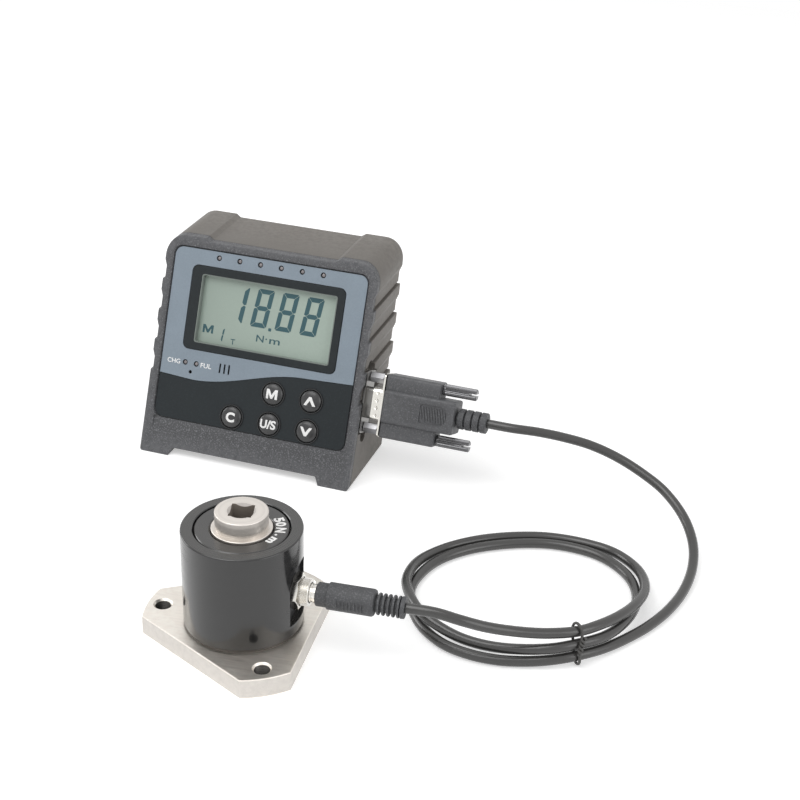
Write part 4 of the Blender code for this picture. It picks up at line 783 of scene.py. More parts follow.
@dataclass(frozen=True)
class Toned(Finish):
    """Printed ink, the dark of a liquid crystal or a milky lens: one colour in two tones."""

    grain: float = 1800.0
    pattern: str = "Height"
    tones: Point = (0.9, 1.06)
    coat: float = 0.0
    relief: float = 0.000004

    def make(self, effect: Effect) -> Material:
        """Return the material, built from the shared effects."""
        material, graph, shader, vector = self.start()
        grain = graph.effect(effect.grain, vector, Scale=self.grain)
        low, high = self.tones
        toned = graph.mix(graph.spread(grain.outputs[self.pattern]), self.tinted(low), self.tinted(high))
        graph.fill(shader, Base_Color=toned, Coat_Weight=self.coat)
        graph.bump(shader, grain.outputs["Height"], self.relief)
        return material


@dataclass(frozen=True)
class Screen(Finish):
    """The pale panel of a liquid crystal, with painted light that makes it lighter to the right."""

    painted_light_span: float = 0.072

    def make(self, effect: Effect) -> Material:
        """Return the material, built from the shared effects."""
        material, graph, shader, vector = self.start()
        height = graph.effect(effect.grain, vector, Scale=2000.0).outputs["Height"]
        across = graph.node("ShaderNodeSeparateXYZ", Vector=vector).outputs["X"]
        # Painted light: the panel is darker at the left and lighter at the right
        slope = graph.scale(across, 0.0, 1.0, -self.painted_light_span / 2, self.painted_light_span / 2)
        base = graph.mix(slope, self.tinted(0.88), self.tinted(1.08))
        toned = graph.mix(graph.spread(height, 0.0, 0.35), base, self.tinted(0.82))
        graph.fill(shader, Base_Color=toned, Coat_Weight=0.35, Coat_Roughness=0.06)
        graph.bump(shader, height, 0.000003)
        return material


@dataclass(frozen=True)
class Board(Finish):
    """A circuit board, with the paler lines of its tracks."""

    def make(self, effect: Effect) -> Material:
        """Return the material, built from the shared effects."""
        material, graph, shader, vector = self.start()
        tracks = graph.node("ShaderNodeTexVoronoi", {"distance": "MANHATTAN"}, Vector=vector, Scale=260.0)
        share = graph.scale(tracks.outputs["Distance"], 0.0, 1.0, 0.44, 0.5)
        graph.fill(shader, Base_Color=graph.mix(share, self.tinted(1.0), self.tinted(1.7)))
        graph.bump(shader, graph.effect(effect.grain, vector, Scale=1500.0).outputs["Height"], 0.000006)
        return material


PALETTE: dict[str, Moulded | Metal | Toned | Screen | Board] = {
    "shell": Moulded("shell_grain", (0.142, 0.131, 0.118), 0.56, relief=0.00004),
    # The bezel's softened front edge is painted much lighter: partly rubbed wear, partly a painted
    # highlight on its rounded edge
    "bezel": Moulded("bezel_speckle_and_painted_sparkle", (0.064, 0.065, 0.069), 0.52, grain=2700.0, relief=0.00010,
                     flecks_and_sparkle=0.85, wear_and_highlight=0.8),
    "slate": Moulded("slate_plate", (0.235, 0.285, 0.335), 0.42, grain=3600.0, relief=0.000006, wear_and_highlight=0.1),
    "night": Moulded("night_plate", (0.0135, 0.0180, 0.0205), 0.44, grain=2200.0, relief=0.00001,
                     flecks_and_sparkle=0.12, wear_and_highlight=0.1, sheen=0.30),
    "frame": Moulded("window_frame", (0.016, 0.020, 0.022), 0.40, grain=3000.0, relief=0.000006,
                     wear_and_highlight=0.3, sheen=0.25),
    "collar": Moulded("collar_gloss", (0.030, 0.031, 0.032), 0.22, grain=3000.0, relief=0.000003, wear_and_highlight=0.2),
    "sides": Moulded("window_sides", (0.205, 0.235, 0.215), 0.40, grain=3000.0, relief=0.000004, wear_and_highlight=0.0),
    "key": Moulded("key_gloss", (0.040, 0.040, 0.041), 0.24, grain=3000.0, relief=0.000004, wear_and_highlight=0.15),
    "hood": Moulded("hood_grain", (0.070, 0.071, 0.075), 0.56, grain=2600.0, relief=0.00006,
                    flecks_and_sparkle=0.42, wear_and_highlight=0.45),
    "lead": Moulded("cable_jacket", (0.044, 0.0430, 0.0415), 0.24, grain=2800.0, relief=0.000004,
                    wear_and_highlight=0.1, smudges=0.04, sheen=0.7),
    "strap": Moulded("tie_jacket", (0.060, 0.058, 0.055), 0.45, grain=2600.0),
    "cap": Moulded("cap_satin", (0.030, 0.029, 0.028), 0.24, grain=2600.0, relief=0.000004, wear_and_highlight=0.4,
                   sheen=0.85),
    "steel": Metal("ground_steel", (0.84, 0.780, 0.715), 0.38, SENSOR, marks=Marks.BRUSHED),
    "milled": Metal("milled_steel", (0.575, 0.547, 0.513), 0.38, SENSOR),
    # Painted shade inside the square hole: darker and less metallic than the shaft
    "pit": Metal("square_walls_painted_shade", (0.300, 0.262, 0.228), 0.55, SENSOR, metallic=0.3),
    "lip": Metal("square_lip", (0.56, 0.525, 0.49), 0.65, SENSOR, metallic=0.0),
    "turned": Metal("turned_steel", (0.72, 0.68, 0.635), 0.42, SENSOR, marks=Marks.TURNED),
    "black": Metal("black_gloss", (0.016, 0.016, 0.016), 0.20, SENSOR, marks=Marks.TURNED, metallic=0.0,
                   coat=0.4, relief=0.000002, wear_and_highlight=0.6),
    # The sleeve's top faces: a satin black, painted lighter than the gloss sides for the light from above
    "satin": Metal("black_satin_painted_top_light", (0.032, 0.031, 0.029), 0.26, SENSOR, marks=Marks.TURNED, metallic=0.0,
                   relief=0.000001, wear_and_highlight=0.3, sheen=0.85),
    "tin": Metal("tin_plate", (0.78, 0.76, 0.71), 0.20),
    # Painted shade: the dark steel of the plate's threaded bores and of the seat's side under the sleeve's
    # overhang
    "thread": Metal("painted_shade_holes_and_seat", (0.10, 0.095, 0.09), 0.45),
    "dull": Metal("dull_tin", (0.24, 0.235, 0.225), 0.32),
    "screw": Metal("blackened_steel", (0.16, 0.16, 0.165), 0.26, metallic=0.8),
    "nickel": Metal("nickel_turned", (0.74, 0.72, 0.68), 0.22),
    "zinc": Metal("zinc_screw", (0.36, 0.36, 0.37), 0.36),
    "white": Toned("white_print", (0.92, 0.92, 0.91), 0.45),
    "teal": Toned("crystal_dark", (0.030, 0.092, 0.108), 0.40),
    "screen": Screen("crystal_pale", (0.362, 0.440, 0.385), 0.30, DISPLAY),
    "lens": Toned("lamp_lens", (0.240, 0.215, 0.218), 0.25, grain=900.0, pattern="Patches",
                  tones=(0.8, 1.2), coat=0.6, relief=0.000002),
    "board": Board("board_green", (0.018, 0.105, 0.045), 0.42),
    "cell": Moulded("battery_wrap", (0.055, 0.120, 0.270), 0.38, relief=0.00002),
    "inside": Moulded("inner_black", (0.020, 0.020, 0.021), 0.55, relief=0.00003),
}


def make_finishes() -> dict[str, Material]:
    """Make every material of the object once, and return them by their short names."""
    effect = Effect()
    return {name: finish.make(effect) for name, finish in PALETTE.items()}


@dataclass
class Assembly:
    """A sub-assembly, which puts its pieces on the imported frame."""

    finishes: dict[str, Material]

    def put(self, name: str, form: Form, finish: str | Sequence[str], node: str = "", slot: str = "",
            body: str = "tester") -> Piece:
        """Make a piece of a form, which is used up.

        Args:
            name: The piece's name.
            form: Its form, in the frame's coordinates.
            finish: Its finish, or its finishes in order.
            node: The CAD node that it replaces.
            slot: The CAD node that it goes with, if it replaces none; it is only named in the log.
            body: The CAD body that it rides on.

        Returns:
            The piece.
        """
        mesh = mesh_of(name, form)
        mesh.shade_smooth()
        mesh.set_sharp_from_angle(angle=CREASE)
        for key in [finish] if isinstance(finish, str) else finish:
            mesh.materials.append(self.finishes[key])
        piece = show(name, mesh)
        piece.modifiers.new("even_shading", "WEIGHTED_NORMAL").keep_sharp = True
        return self.settle(piece, node, slot, body)

    def settle(self, piece: Piece, node: str = "", slot: str = "", body: str = "tester") -> Piece:
        """Let a piece ride on its body and stand for its CAD node."""
        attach(piece, body)
        if node:
            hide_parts(node)
        LOG.info("piece %s on %s for %s", piece.name, body, node or slot)
        return piece

    def paint(self, node: str, finish: str) -> None:
        """Give a CAD node that stays a finish of its own."""
        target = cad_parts[node]
        material = self.finishes[finish]
        if not target.material_slots:
            target.data.materials.append(material)
        for slot in target.material_slots:
            slot.material = material
        LOG.info("node %s keeps its mesh and gets %s", node, material.name)


# Places of the small openings of the face, from its middle and its bottom edge
BUTTONS = {
    "mode": (0.0108, 0.0403),
    "up": (0.0308, 0.0403),
    "clear": (-0.0092, 0.0253),
    "unit": (0.0108, 0.0253),
    "down": (0.0308, 0.0253),
}
LAMPS = [(0.0002 + 0.0110 * (number - 2.5), 0.1016) for number in range(6)]
CHARGE_LAMPS = [(-0.0379, 0.0480), (-0.0319, 0.0480)]
SLOTS = [(-0.0166 + 0.0024 * (number - 1), 0.0480) for number in range(3)]
RESET = (-0.0345, 0.0436)
# Left, right, bottom and top of the frame round the display and of the opening in it
WINDOW: Box = (-0.0403, 0.0405, 0.0551, 0.0967)
OPENING: Box = (-0.0350, 0.0367, 0.0587, 0.0928)


def face_openings() -> list[list[Point]]:
    """Return the loops of the button, lamp, reset and sound openings."""
    loops = [circle(x, y, 0.0056, 48) for x, y in BUTTONS.values()]
    loops += [circle(x, y, 0.0014, 20) for x, y in LAMPS + CHARGE_LAMPS]
    loops.append(circle(*RESET, 0.0009, 16))
    loops += [rectangle(x - 0.00045, x + 0.00045, y - 0.0024, y + 0.0024, 0.0002) for x, y in SLOTS]
    return loops


@dataclass
class Housing(Assembly):
    """The display's back shell and the bezel on its front."""

    width: float = 0.1118
    height: float = 0.102
    base_depth: float = 0.0493
    wall: float = 0.0020
    edge: float = 0.0010
    foot_width: float = 0.0156
    foot_slope: float = 0.0019
    foot_height: float = 0.0039
    top_end: float = 0.0206
    top_slope: float = 0.0024
    top_recess: float = 0.0015
    corner: float = 0.0100
    band_start: float = 0.0386
    band_pitch: float = 0.0141
    bands: int = 4
    band_step: float = 0.0012
    band_flat: float = 0.0050
    band_slope: float = 0.0030
    groove_depth: float = 0.0020
    groove_height: float = 0.0009
    bezel_depth: float = 0.0034
    post_x: float = 0.0468
    post_rows: tuple[float, float] = (0.0140, 0.0880)
    post_length: float = 0.0100
    pillar: float = 0.0040
    pillar_bore: float = 0.0028
    pillar_floor: float = 0.0030
    screw_hole: float = 0.0017
    port_recess: Box = (-0.0170, 0.0069, -0.0160, 0.0160)
    port_opening: Box = (-0.0056, 0.0056, -0.0098, 0.0098)
    pocket_margin: float = 0.0049
    pocket_bottom: float = 0.0188
    pocket_top: float = 0.1049
    pocket_radius: float = 0.0045
    pocket_depth: float = 0.0014
    pocket_flare: Point = (1.017, 1.020)

    def outline(self, grooved: bool) -> list[Point]:
        """Return the housing's outline from the front, with a notch under each band if grooved."""
        half = self.width / 2
        foot = half - self.foot_width
        side: list[Corner] = [
            (foot - self.foot_slope, self.foot_height, 0.0008),
            (foot, 0, 0.0005),
            (half, 0, 0.0012),
        ]
        for number in range(self.bands):
            step = self.band_start + self.band_pitch * number
            flat = step + self.groove_height
            side.append((half, step, 0.0004))
            if grooved:
                side.append((half - self.groove_depth, step, 0.0003))
                side.append((half - self.groove_depth, flat, 0.0003))
                side.append((half - self.band_step, flat, 0.0003))
            else:
                side.append((half - self.band_step, step, 0.0004))
            side.append((half - self.band_step, flat + self.band_flat, 0.0015))
            side.append((half, flat + self.band_flat + self.band_slope, 0.0015))
        side.append((half, self.height, self.corner))
        side.append((half - self.top_end, self.height, 0.0006))
        side.append((half - self.top_end - self.top_slope, self.height - self.top_recess, 0.0008))
        return fillet(side + [(-x, y, radius) for x, y, radius in reversed(side)])

    def leaning(self, lean: float, depth: float) -> Matrix:
        """Return what stands a flat outline in a leaning plane, some way back."""
        matrix = Matrix()
        matrix[2][1] = -math.tan(lean)
        matrix[2][3] = -depth
        return matrix

    def between(self, outline: Sequence[Point], front: float, back: float) -> Form:
        """Run an outline from the plane of the front to that of the back.

        Args:
            outline: The outline, seen from the front.
            front: The distance from the front's plane, square to it.
            back: The distance from the back's plane, square to it.

        Returns:
            The solid between them.
        """
        near = self.leaning(FACE_LEAN, front / math.cos(FACE_LEAN))
        far = self.leaning(BACK_LEAN, self.base_depth - back / math.cos(BACK_LEAN))
        return thicken(place(sheet([outline]), near), far @ near.inverted())

    def post_end(self, row: float) -> float:
        """Return how far back a bezel post ends."""
        return row * math.tan(FACE_LEAN) + self.bezel_depth / math.cos(FACE_LEAN) + self.post_length

    def posts(self, radius: float, start: float, past_back: float) -> list[Form]:
        """Return rods on the four posts' axes, from behind the posts to the back wall."""
        made = []
        for x in (-self.post_x, self.post_x):
            for row in self.post_rows:
                end = self.base_depth + row * math.tan(BACK_LEAN) + past_back
                made.append(rod(radius, -end, -self.post_end(row) - start, (x, row), 24))
        return made

    def build_back(self) -> None:
        """Build the back shell, hollow, with its screw pillars and the port's opening."""
        shell = self.between(self.outline(True), self.bezel_depth + GAP, 0)
        soften(shell, self.edge, edges_on(shell, self.leaning(BACK_LEAN, self.base_depth)))
        half = self.width / 2 - self.groove_depth - self.wall
        top = self.height - self.top_recess - self.wall
        inner = rectangle(-half, half, self.foot_height + self.wall, top, self.corner / 2)
        shell = combine(shell, [self.between(inner, -OVER, self.wall)])
        shell = combine(shell, self.posts(self.pillar, GAP, -self.wall / 2), Operation.JOIN)
        bores = self.posts(self.pillar_bore, GAP + self.pillar_floor, self.wall)
        bores += self.posts(self.screw_hole, -OVER, 0)
        port = [
            slab([rectangle(*self.port_recess)], -0.0012, 0.0024),
            slab([rectangle(*self.port_opening, OVER)], -0.0120, OVER),
        ]
        for side in (-1, 1):
            port.append(rod(0.0034, -0.0032, OVER, (0, side * 0.0167)))
            port.append(rod(0.0016, -0.0080, OVER, (0, side * PORT_SCREW), 20))
        cutters = [place(bore, UPRIGHT) for bore in bores] + [place(cutter, PORT) for cutter in port]
        self.put("housing_back", combine(place(shell, UPRIGHT), cutters), "shell", "rear_case")

    def build_bezel(self) -> None:
        """Build the bezel, with its pocket and every hole in it."""
        near = self.leaning(FACE_LEAN, 0)
        behind = shift(z=-self.bezel_depth / math.cos(FACE_LEAN))
        plate = thicken(place(sheet([self.outline(False)]), near), behind)
        soften(plate, self.edge, edges_on(plate, near))
        place(plate, UPRIGHT)
        side = self.width / 2 - self.pocket_margin
        pocket = sheet([rectangle(-side, side, self.pocket_bottom, self.pocket_top, self.pocket_radius)])
        place(pocket, shift(z=-self.pocket_depth))
        middle = shift(y=(self.pocket_bottom + self.pocket_top) / 2)
        flare = middle @ Matrix.Diagonal((*self.pocket_flare, 1, 1)) @ middle.inverted()
        thicken(pocket, shift(z=self.pocket_depth + OVER) @ flare)
        lip = sheet([[(-OVER, 0.00714), (0.0008, 0.0182), (0.0008, 0.0191), (-OVER, 0.0191)]])
        across = Matrix(((0, 0, 1, 0), (0, 1, 0, 0), (-1, 0, 0, 0), (0, 0, 0, 1)))
        thicken(place(lip, shift(GAP - side) @ across), shift(2 * side - 2 * GAP))
        cutters = [pocket, lip]
        for loop in [rectangle(*grown(OPENING, 0.0001), OVER), *face_openings()]:
            cutters.append(slab([loop], -0.0100, OVER))
        plate = combine(plate, [place(cutter, FACE) for cutter in cutters])
        self.put("housing_bezel", plate, "bezel", "front_bezel")

    def build(self) -> None:
        """Build both halves, and finish what they hide."""
        self.build_back()
        self.build_bezel()
        for number in range(1, 5):
            self.paint(f"case_screw_{number}", "zinc")
        self.paint("main_board", "board")
        self.paint("battery_pack", "cell")
        self.paint("buzzer", "inside")
        self.paint("key_mat", "inside")


@dataclass
class Face(Assembly):
    """The label plates, the display window and what is shown and printed there."""

    half_width: float = 0.0507
    bottom: float = 0.0191
    top: float = 0.1046
    radius: float = 0.0042
    window_radius: float = 0.0030
    front: float = -0.0005
    back: float = -0.0011
    module_front: float = -0.0037
    digit_height: float = 0.0192
    digit_width: float = 0.0088
    digit_pitch: float = 0.0131
    bar: float = 0.0025
    cut: float = 0.0009
    slant: float = 0.0023

    def wave(self, x: float) -> float:
        """Return the height of the line between the two plates."""
        dip, crest = -0.0330, 0.0270
        if x < dip:
            return 0.0398 + 0.0014 * (dip - x) / (dip + 0.0559)
        if x > crest:
            return 0.0505 + 0.0012 * (x - crest) / (0.0559 - crest)
        share = (x - dip) / (crest - dip)
        return 0.0398 + 0.0107 * (1 - math.cos(math.pi * share)) / 2

    def plate_loops(self) -> tuple[list[list[Point]], list[list[Point]]]:
        """Return the outline and the holes of the upper plate and of the lower one."""
        side, steps = self.half_width, 72
        line = [-side + 2 * side * step / steps for step in range(steps + 1)]
        upper: list[Corner] = [(x, self.wave(x) + GAP / 2, 0) for x in line]
        upper += [(side, self.top, self.radius), (-side, self.top, self.radius)]
        lower: list[Corner] = [(-side, self.bottom, self.radius), (side, self.bottom, self.radius)]
        lower += [(x, self.wave(x) - GAP / 2, 0) for x in reversed(line)]
        openings = face_openings()
        buttons = len(BUTTONS)
        window = rectangle(*grown(WINDOW, GAP), self.window_radius + GAP)
        return [fillet(upper), window, *openings[buttons:]], [fillet(lower), *openings[:buttons]]

    def build_plates(self) -> None:
        """Build both plates."""
        upper, lower = self.plate_loops()
        for key, loops, node in (("slate", upper, "panel_upper"), ("night", lower, "panel_lower")):
            self.put(f"{key}_plate", place(slab(loops, self.back, self.front), FACE), key, node)

    def build_window(self) -> None:
        """Build the frame round the window, with its sides run in to the display."""
        inner = rectangle(*OPENING, 0.0012)
        frame = slab([rectangle(*WINDOW, self.window_radius), inner], -0.0011, -0.0003)
        soften(frame, 0.00025, rim(frame, -0.0003), 2)
        throat = slab([inner, rectangle(*grown(OPENING, -0.0005), 0.0010)], -0.0036, -0.0006)
        screen = slab([rectangle(-0.0371, 0.0388, 0.0566, 0.0949)], -0.0092, self.module_front)
        self.put("window_frame", place(frame, FACE), "frame", "lcd_frame")
        self.put("window_sides", place(throat, FACE), "sides", slot="lcd_frame")
        self.put("screen_panel", place(screen, FACE), "screen", "lcd_module")

    def segments(self, lit: str) -> list[list[Point]]:
        """Return the loops of some of a digit's seven segments.

        Args:
            lit: The segments' letters, a to g, clockwise from the top.

        Returns:
            One loop for each.
        """
        wide, high, bar, cut = self.digit_width, self.digit_height, self.bar, self.cut
        middle = high / 2
        top = [(cut, high), (wide - cut, high), (wide - cut / 2, high - cut / 2), (wide - bar, high - bar),
               (bar, high - bar), (cut / 2, high - cut / 2)]
        right = [(wide - cut / 2, high - cut / 2), (wide, high - cut), (wide, middle + cut / 2),
                 (wide - bar / 2, middle), (wide - bar, middle + bar / 2), (wide - bar, high - bar)]
        bridge = [(bar / 2, middle), (bar, middle + bar / 2), (wide - bar, middle + bar / 2),
                  (wide - bar / 2, middle), (wide - bar, middle - bar / 2), (bar, middle - bar / 2)]
        shapes = {
            "a": top,
            "b": right,
            "c": [(x, high - y) for x, y in right],
            "d": [(x, high - y) for x, y in top],
            "e": [(wide - x, high - y) for x, y in right],
            "f": [(wide - x, y) for x, y in right],
            "g": bridge,
        }
        return [shapes[letter] for letter in lit]

    def crystal(self, loops: Sequence[Sequence[Point]], inset: float = 0.00011) -> Form:
        """Return dark shapes of the display, each drawn in a little.

        Args:
            loops: The shapes' outlines.
            inset: How far each is drawn in.

        Returns:
            The shapes as thin plates on XY.
        """
        forms = []
        for loop in loops:
            form = sheet([loop])
            ring = bmesh.ops.inset_individual(form, faces=form.faces[:], thickness=inset, depth=0)
            bmesh.ops.delete(form, geom=ring["faces"], context="FACES")
            forms.append(thicken(form, shift(z=0.00003)))
        return merged(forms)

    def build_digits(self) -> None:
        """Build the number on the display and the small marks under it."""
        lean = Matrix()
        lean[0][1] = self.slant / self.digit_height
        forms = []
        for number, lit in enumerate(["bc", "abcdefg", "abcdefg", "abcdefg"]):
            spot = shift(-0.0210 + self.digit_pitch * number, 0.0709)
            forms.append(place(self.crystal(self.segments(lit)), spot @ lean))
        forms.append(self.crystal([rectangle(0.0022, 0.0038, 0.0700, 0.0716, 0.0003)], 0.00002))
        small = shift(-0.0244, 0.0608) @ lean @ Matrix.Diagonal((0.36, 0.36, 1, 1))
        forms.append(place(self.crystal(self.segments("bc")), small))
        forms.append(letter_m(-0.0323, -0.0266, 0.0640, 0.0681, 0.0011))
        forms.append(lettering("T", -0.0167, -0.0143, 0.0604, 0.0631, 0.01))
        forms.append(lettering("N", -0.0034, 0.0006, 0.0640, 0.0674, 0.012))
        forms.append(self.crystal([circle(0.0019, 0.0659, 0.00042, 12)], 0.00001))
        forms.append(lettering("m", 0.0036, 0.0092, 0.0640, 0.0664, 0.01))
        digits = place(merged(forms), FACE @ shift(z=self.module_front))
        self.put("screen_digits", digits, "teal", slot="lcd_module")

    def build_legends(self) -> None:
        """Build the white words by the charge lamps."""
        forms = [
            lettering("CHG", -0.0475, -0.0406, 0.0467, 0.0490, 0.01),
            lettering("FUL", -0.0294, -0.0236, 0.0467, 0.0490, 0.01),
        ]
        legends = place(merged(forms), FACE @ shift(z=self.front))
        self.put("lamp_words", legends, "white", slot="panel_upper")

    def build_lamps(self) -> None:
        """Build the rounded tips of the light pipes."""
        for number, (x, y) in enumerate(LAMPS + CHARGE_LAMPS):
            charge = number + 1 - len(LAMPS)
            node = f"charge_lamp_{charge}" if charge > 0 else f"lamp_{number + 1}"
            angles = [step * math.pi / 12 for step in range(7)]
            tip = [(0.0010 * math.sin(angle), -0.0013 + 0.0006 * math.cos(angle)) for angle in angles]
            pipe = lathe([*tip, (0.0010, -0.0092), (0, -0.0092)], 20)
            self.put(f"{node}_pipe", place(pipe, FACE @ shift(x, y)), "lens", node)

    def build(self) -> None:
        """Build the whole face."""
        self.build_plates()
        self.build_window()
        self.build_digits()
        self.build_legends()
        self.build_lamps()


@dataclass
class Buttons(Assembly):
    """The five domed keys and their white signs."""

    radius: float = 0.0053
    crown: float = 0.0016
    flange: float = 0.0062
    flange_thickness: float = 0.0008
    seat: float = -0.0037
    foot: float = -0.0057

    def key(self) -> Form:
        """Return one key: a low dome on a stem, with a flange behind the bezel."""
        across, rise = self.radius - GAP, self.crown - GAP
        angles = [step * math.pi / 20 for step in range(9)]
        dome = [(across * math.sin(angle), GAP + rise * math.cos(angle)) for angle in angles]
        under, stem = self.seat - self.flange_thickness, self.radius / 2
        return lathe([
            *dome, (self.radius - 0.0001, GAP), (self.radius, 0.0), (self.radius, self.seat),
            (self.flange, self.seat), (self.flange, under), (stem, under), (stem, self.foot),
            (0, self.foot)], 48)

    def dome_height(self, x: float, y: float) -> float:
        """Return the height of the dome at a place on it."""
        share = min(1.0, math.hypot(x, y) / (self.radius - GAP))
        return GAP + (self.crown - GAP) * math.sqrt(1 - share**2)

    def wrapped(self, sign: Form) -> Form:
        """Lay a flat sign on the dome.

        Args:
            sign: The sign, standing on XY.

        Returns:
            The same form, cut finer and bent.
        """
        bmesh.ops.triangulate(sign, faces=sign.faces)
        long_edges = [edge for edge in sign.edges if edge.calc_length() > 0.0005]
        bmesh.ops.subdivide_edges(sign, edges=long_edges, cuts=3, use_grid_fill=True)
        bmesh.ops.triangulate(sign, faces=sign.faces)
        for corner in sign.verts:
            corner.co.z += self.dome_height(corner.co.x, corner.co.y) - 0.00001
        return sign

    def chevron(self, up: bool) -> Form:
        """Return an arrow head that points up or down."""
        half, bar, rise = 0.0031, 0.0012, 0.0044
        top, inner = rise / 2, half - bar * 1.25
        form = sheet([[(-half, -top), (-inner, -top), (0, top - bar * 1.55), (inner, -top), (half, -top),
                       (0.0006, top), (-0.0006, top)]])
        if not up:
            place(form, Matrix.Rotation(math.pi, 4, "Z"))
        return thicken(form, shift(z=PRINT))

    def build(self) -> None:
        """Build every key on its own body."""
        signs = {
            "mode": letter_m(-0.0029, 0.0029, -0.0024, 0.0024, 0.0012),
            "up": self.chevron(True),
            "clear": lettering("C", -0.0023, 0.0023, -0.0025, 0.0025, 0.045),
            "unit": lettering("U/S", -0.0041, 0.0041, -0.0022, 0.0022, 0.035),
            "down": self.chevron(False),
        }
        collar = [(0.0056, -0.0006), (0.0056, -0.0001), (0.0058, 0.0002), (0.0061, 0.0002),
                  (0.0063, -0.0001), (0.0063, -0.0006)]
        spots = {name: FACE @ shift(x, y) for name, (x, y) in BUTTONS.items()}
        collars = merged([place(lathe(collar, 64, ring=True), spot) for spot in spots.values()])
        self.put("key_collars", collars, "collar", slot="panel_lower")
        for name, spot in spots.items():
            body, node = f"{name}_key", f"button_{name}"
            self.put(f"{body}_cap", place(self.key(), spot), "key", node, body=body)
            self.put(f"{body}_sign", place(self.wrapped(signs[name]), spot), "white", slot=node, body=body)


@dataclass
class Plug(Assembly):
    """The nine-way port on the display's side and the cable's plug in it."""

    screw_bore: float = 0.0016
    standoff: float = 0.0086
    shell_length: float = 0.0050
    hood_start: float = 0.0098
    grip_start: float = 0.0190
    grip_length: float = 0.0134
    grip_ribs: int = 10
    thumb_start: float = 0.0375
    thumb_length: float = 0.0165
    relief_start: float = 0.0461

    def flange(self) -> list[list[Point]]:
        """Return the outline of the flange of either half, and its two screw holes."""
        holes = [circle(0, side * PORT_SCREW, self.screw_bore, 24) for side in (-1, 1)]
        return [rectangle(-0.00625, 0.00625, -0.0154, 0.0154, 0.0015), *holes]

    def dee(self, margin: float) -> list[Point]:
        """Return the D-shaped outline of the shell, grown by a margin."""
        wide = 0.00415 + margin
        high = 0.00815 + margin
        slant = 2 * wide * math.tan(math.radians(10))
        radius = 0.00207 + margin
        corners = [(-wide, -high), (wide, slant - high), (wide, high - slant), (-wide, high)]
        return fillet([(x, y, radius) for x, y in corners])

    def build_socket(self) -> None:
        """Build the socket's flange, shell and jack screws."""
        outline, *holes = self.flange()
        plate = slab([outline, self.dee(-0.0005), *holes], -0.0009, 0.0001)
        soften(plate, 0.0002, rim(plate, 0.0001), 2)
        shell = slab([self.dee(0), self.dee(-0.0005)], -0.0004, 0.0079)
        soften(shell, 0.0001, rim(shell, 0.0079), 2)
        self.put("socket_plate", place(merged([plate, shell]), PORT), "dull", "socket_shell")
        self.paint("socket_body", "inside")
        for node, side in (("jack_upper", 1), ("jack_lower", -1)):
            chamfer = lathe([(0, 0.0075), (0.0021, 0.0075), (0.0031, 0.0068), (0.0031, 0.0010),
                             (0.0024, 0.0003), (0, 0.0003)], 48)
            head = nut(0.0024, 0.0004, 0.0074, chamfer, rod(self.screw_bore, 0.0030, 0.0084, sides=24))
            stud = rod(0.0013, -0.0060, 0.0008, sides=20)
            spot = PORT @ shift(y=side * PORT_SCREW)
            self.put(f"{node}_screw", place(merged([head, stud]), spot), "zinc", node)

    def build_shell(self) -> Piece:
        """Build the plug's metal shell, with its row of spring dimples."""
        start = self.standoff - self.shell_length
        plate = slab(self.flange(), self.standoff, self.standoff + 0.0009)
        soften(plate, 0.0002, rim(plate, self.standoff), 2)
        tube = slab([self.dee(GAP + 0.0005), self.dee(GAP)], start, self.standoff + 0.0001)
        soften(tube, 0.00015, rim(tube, start), 2)
        dents = []
        for number in range(4):
            for side in (-1, 1):
                spot = shift(side * 0.00490, 0.0037 * (number - 1.5), start + self.shell_length / 2)
                spot = spot @ Matrix.Rotation(side * math.pi / 2, 4, "Y")
                dents.append(place(cone(0.0004, 0.0017, -0.0003, 0.0006), spot))
        tube = combine(tube, dents)
        return self.put("plug_shell_plate", place(merged([plate, tube]), PORT), "tin", "plug_shell")

    def block(self, length: float, half_thick: float, half_span: float) -> Form:
        """Return a rounded block of the hood."""
        start, end = self.hood_start, self.hood_start + length
        form = slab([rectangle(-half_thick, half_thick, -half_span, half_span, 0.0016)], start, end)
        return soften(form, 0.0009, rim(form, start) + rim(form, end))

    def build_hood(self) -> Piece:
        """Build the moulded hood, with its wings and its two ribbed grips."""
        wings, body = self.block(0.0274, 0.0061, 0.0156), self.block(0.0360, 0.0075, 0.0081)
        hood = combine(wings, [body], Operation.JOIN)
        cutters = []
        for side in (-1, 1):
            spot = (0, side * PORT_SCREW)
            cutters.append(rod(self.screw_bore, self.hood_start - OVER, self.thumb_start, spot, 24))
        start, length, ribs = self.hood_start + self.grip_start, self.grip_length, self.grip_ribs
        pitch = length / ribs
        slope = Matrix.Rotation(math.radians(-14), 4, "Z")
        grips = []
        for side in (-1, 1):
            turn = shift(side * 0.0075, 0, start) @ Matrix.Rotation(math.pi / 2, 4, "Y")
            pocket = fillet([(-length, -0.0046, 0.0040), (0, -0.0046, 0.0012), (0, 0.0046, 0.0012),
                             (-length, 0.0046, 0.0040)])
            cutters.append(place(slab([pocket], -0.0006, 0.0006), turn))
            for number in range(ribs):
                half, reach = pitch * 0.27, 0.0024 if number in (0, ribs - 1) else 0.0037
                rib = slab([rectangle(-half, half, -reach, reach, 0.0003)], -0.0007, -0.0001)
                place(rib, shift(pitch * (number + 0.5) - length) @ slope)
                place(rib, Matrix.Diagonal((1, 1, side, 1)))
                bmesh.ops.recalc_face_normals(rib, faces=rib.faces)
                grips.append(place(rib, turn))
        hood = merged([combine(hood, cutters), *grips])
        return self.put("hood_moulding", place(hood, PORT), "hood", "plug_hood")

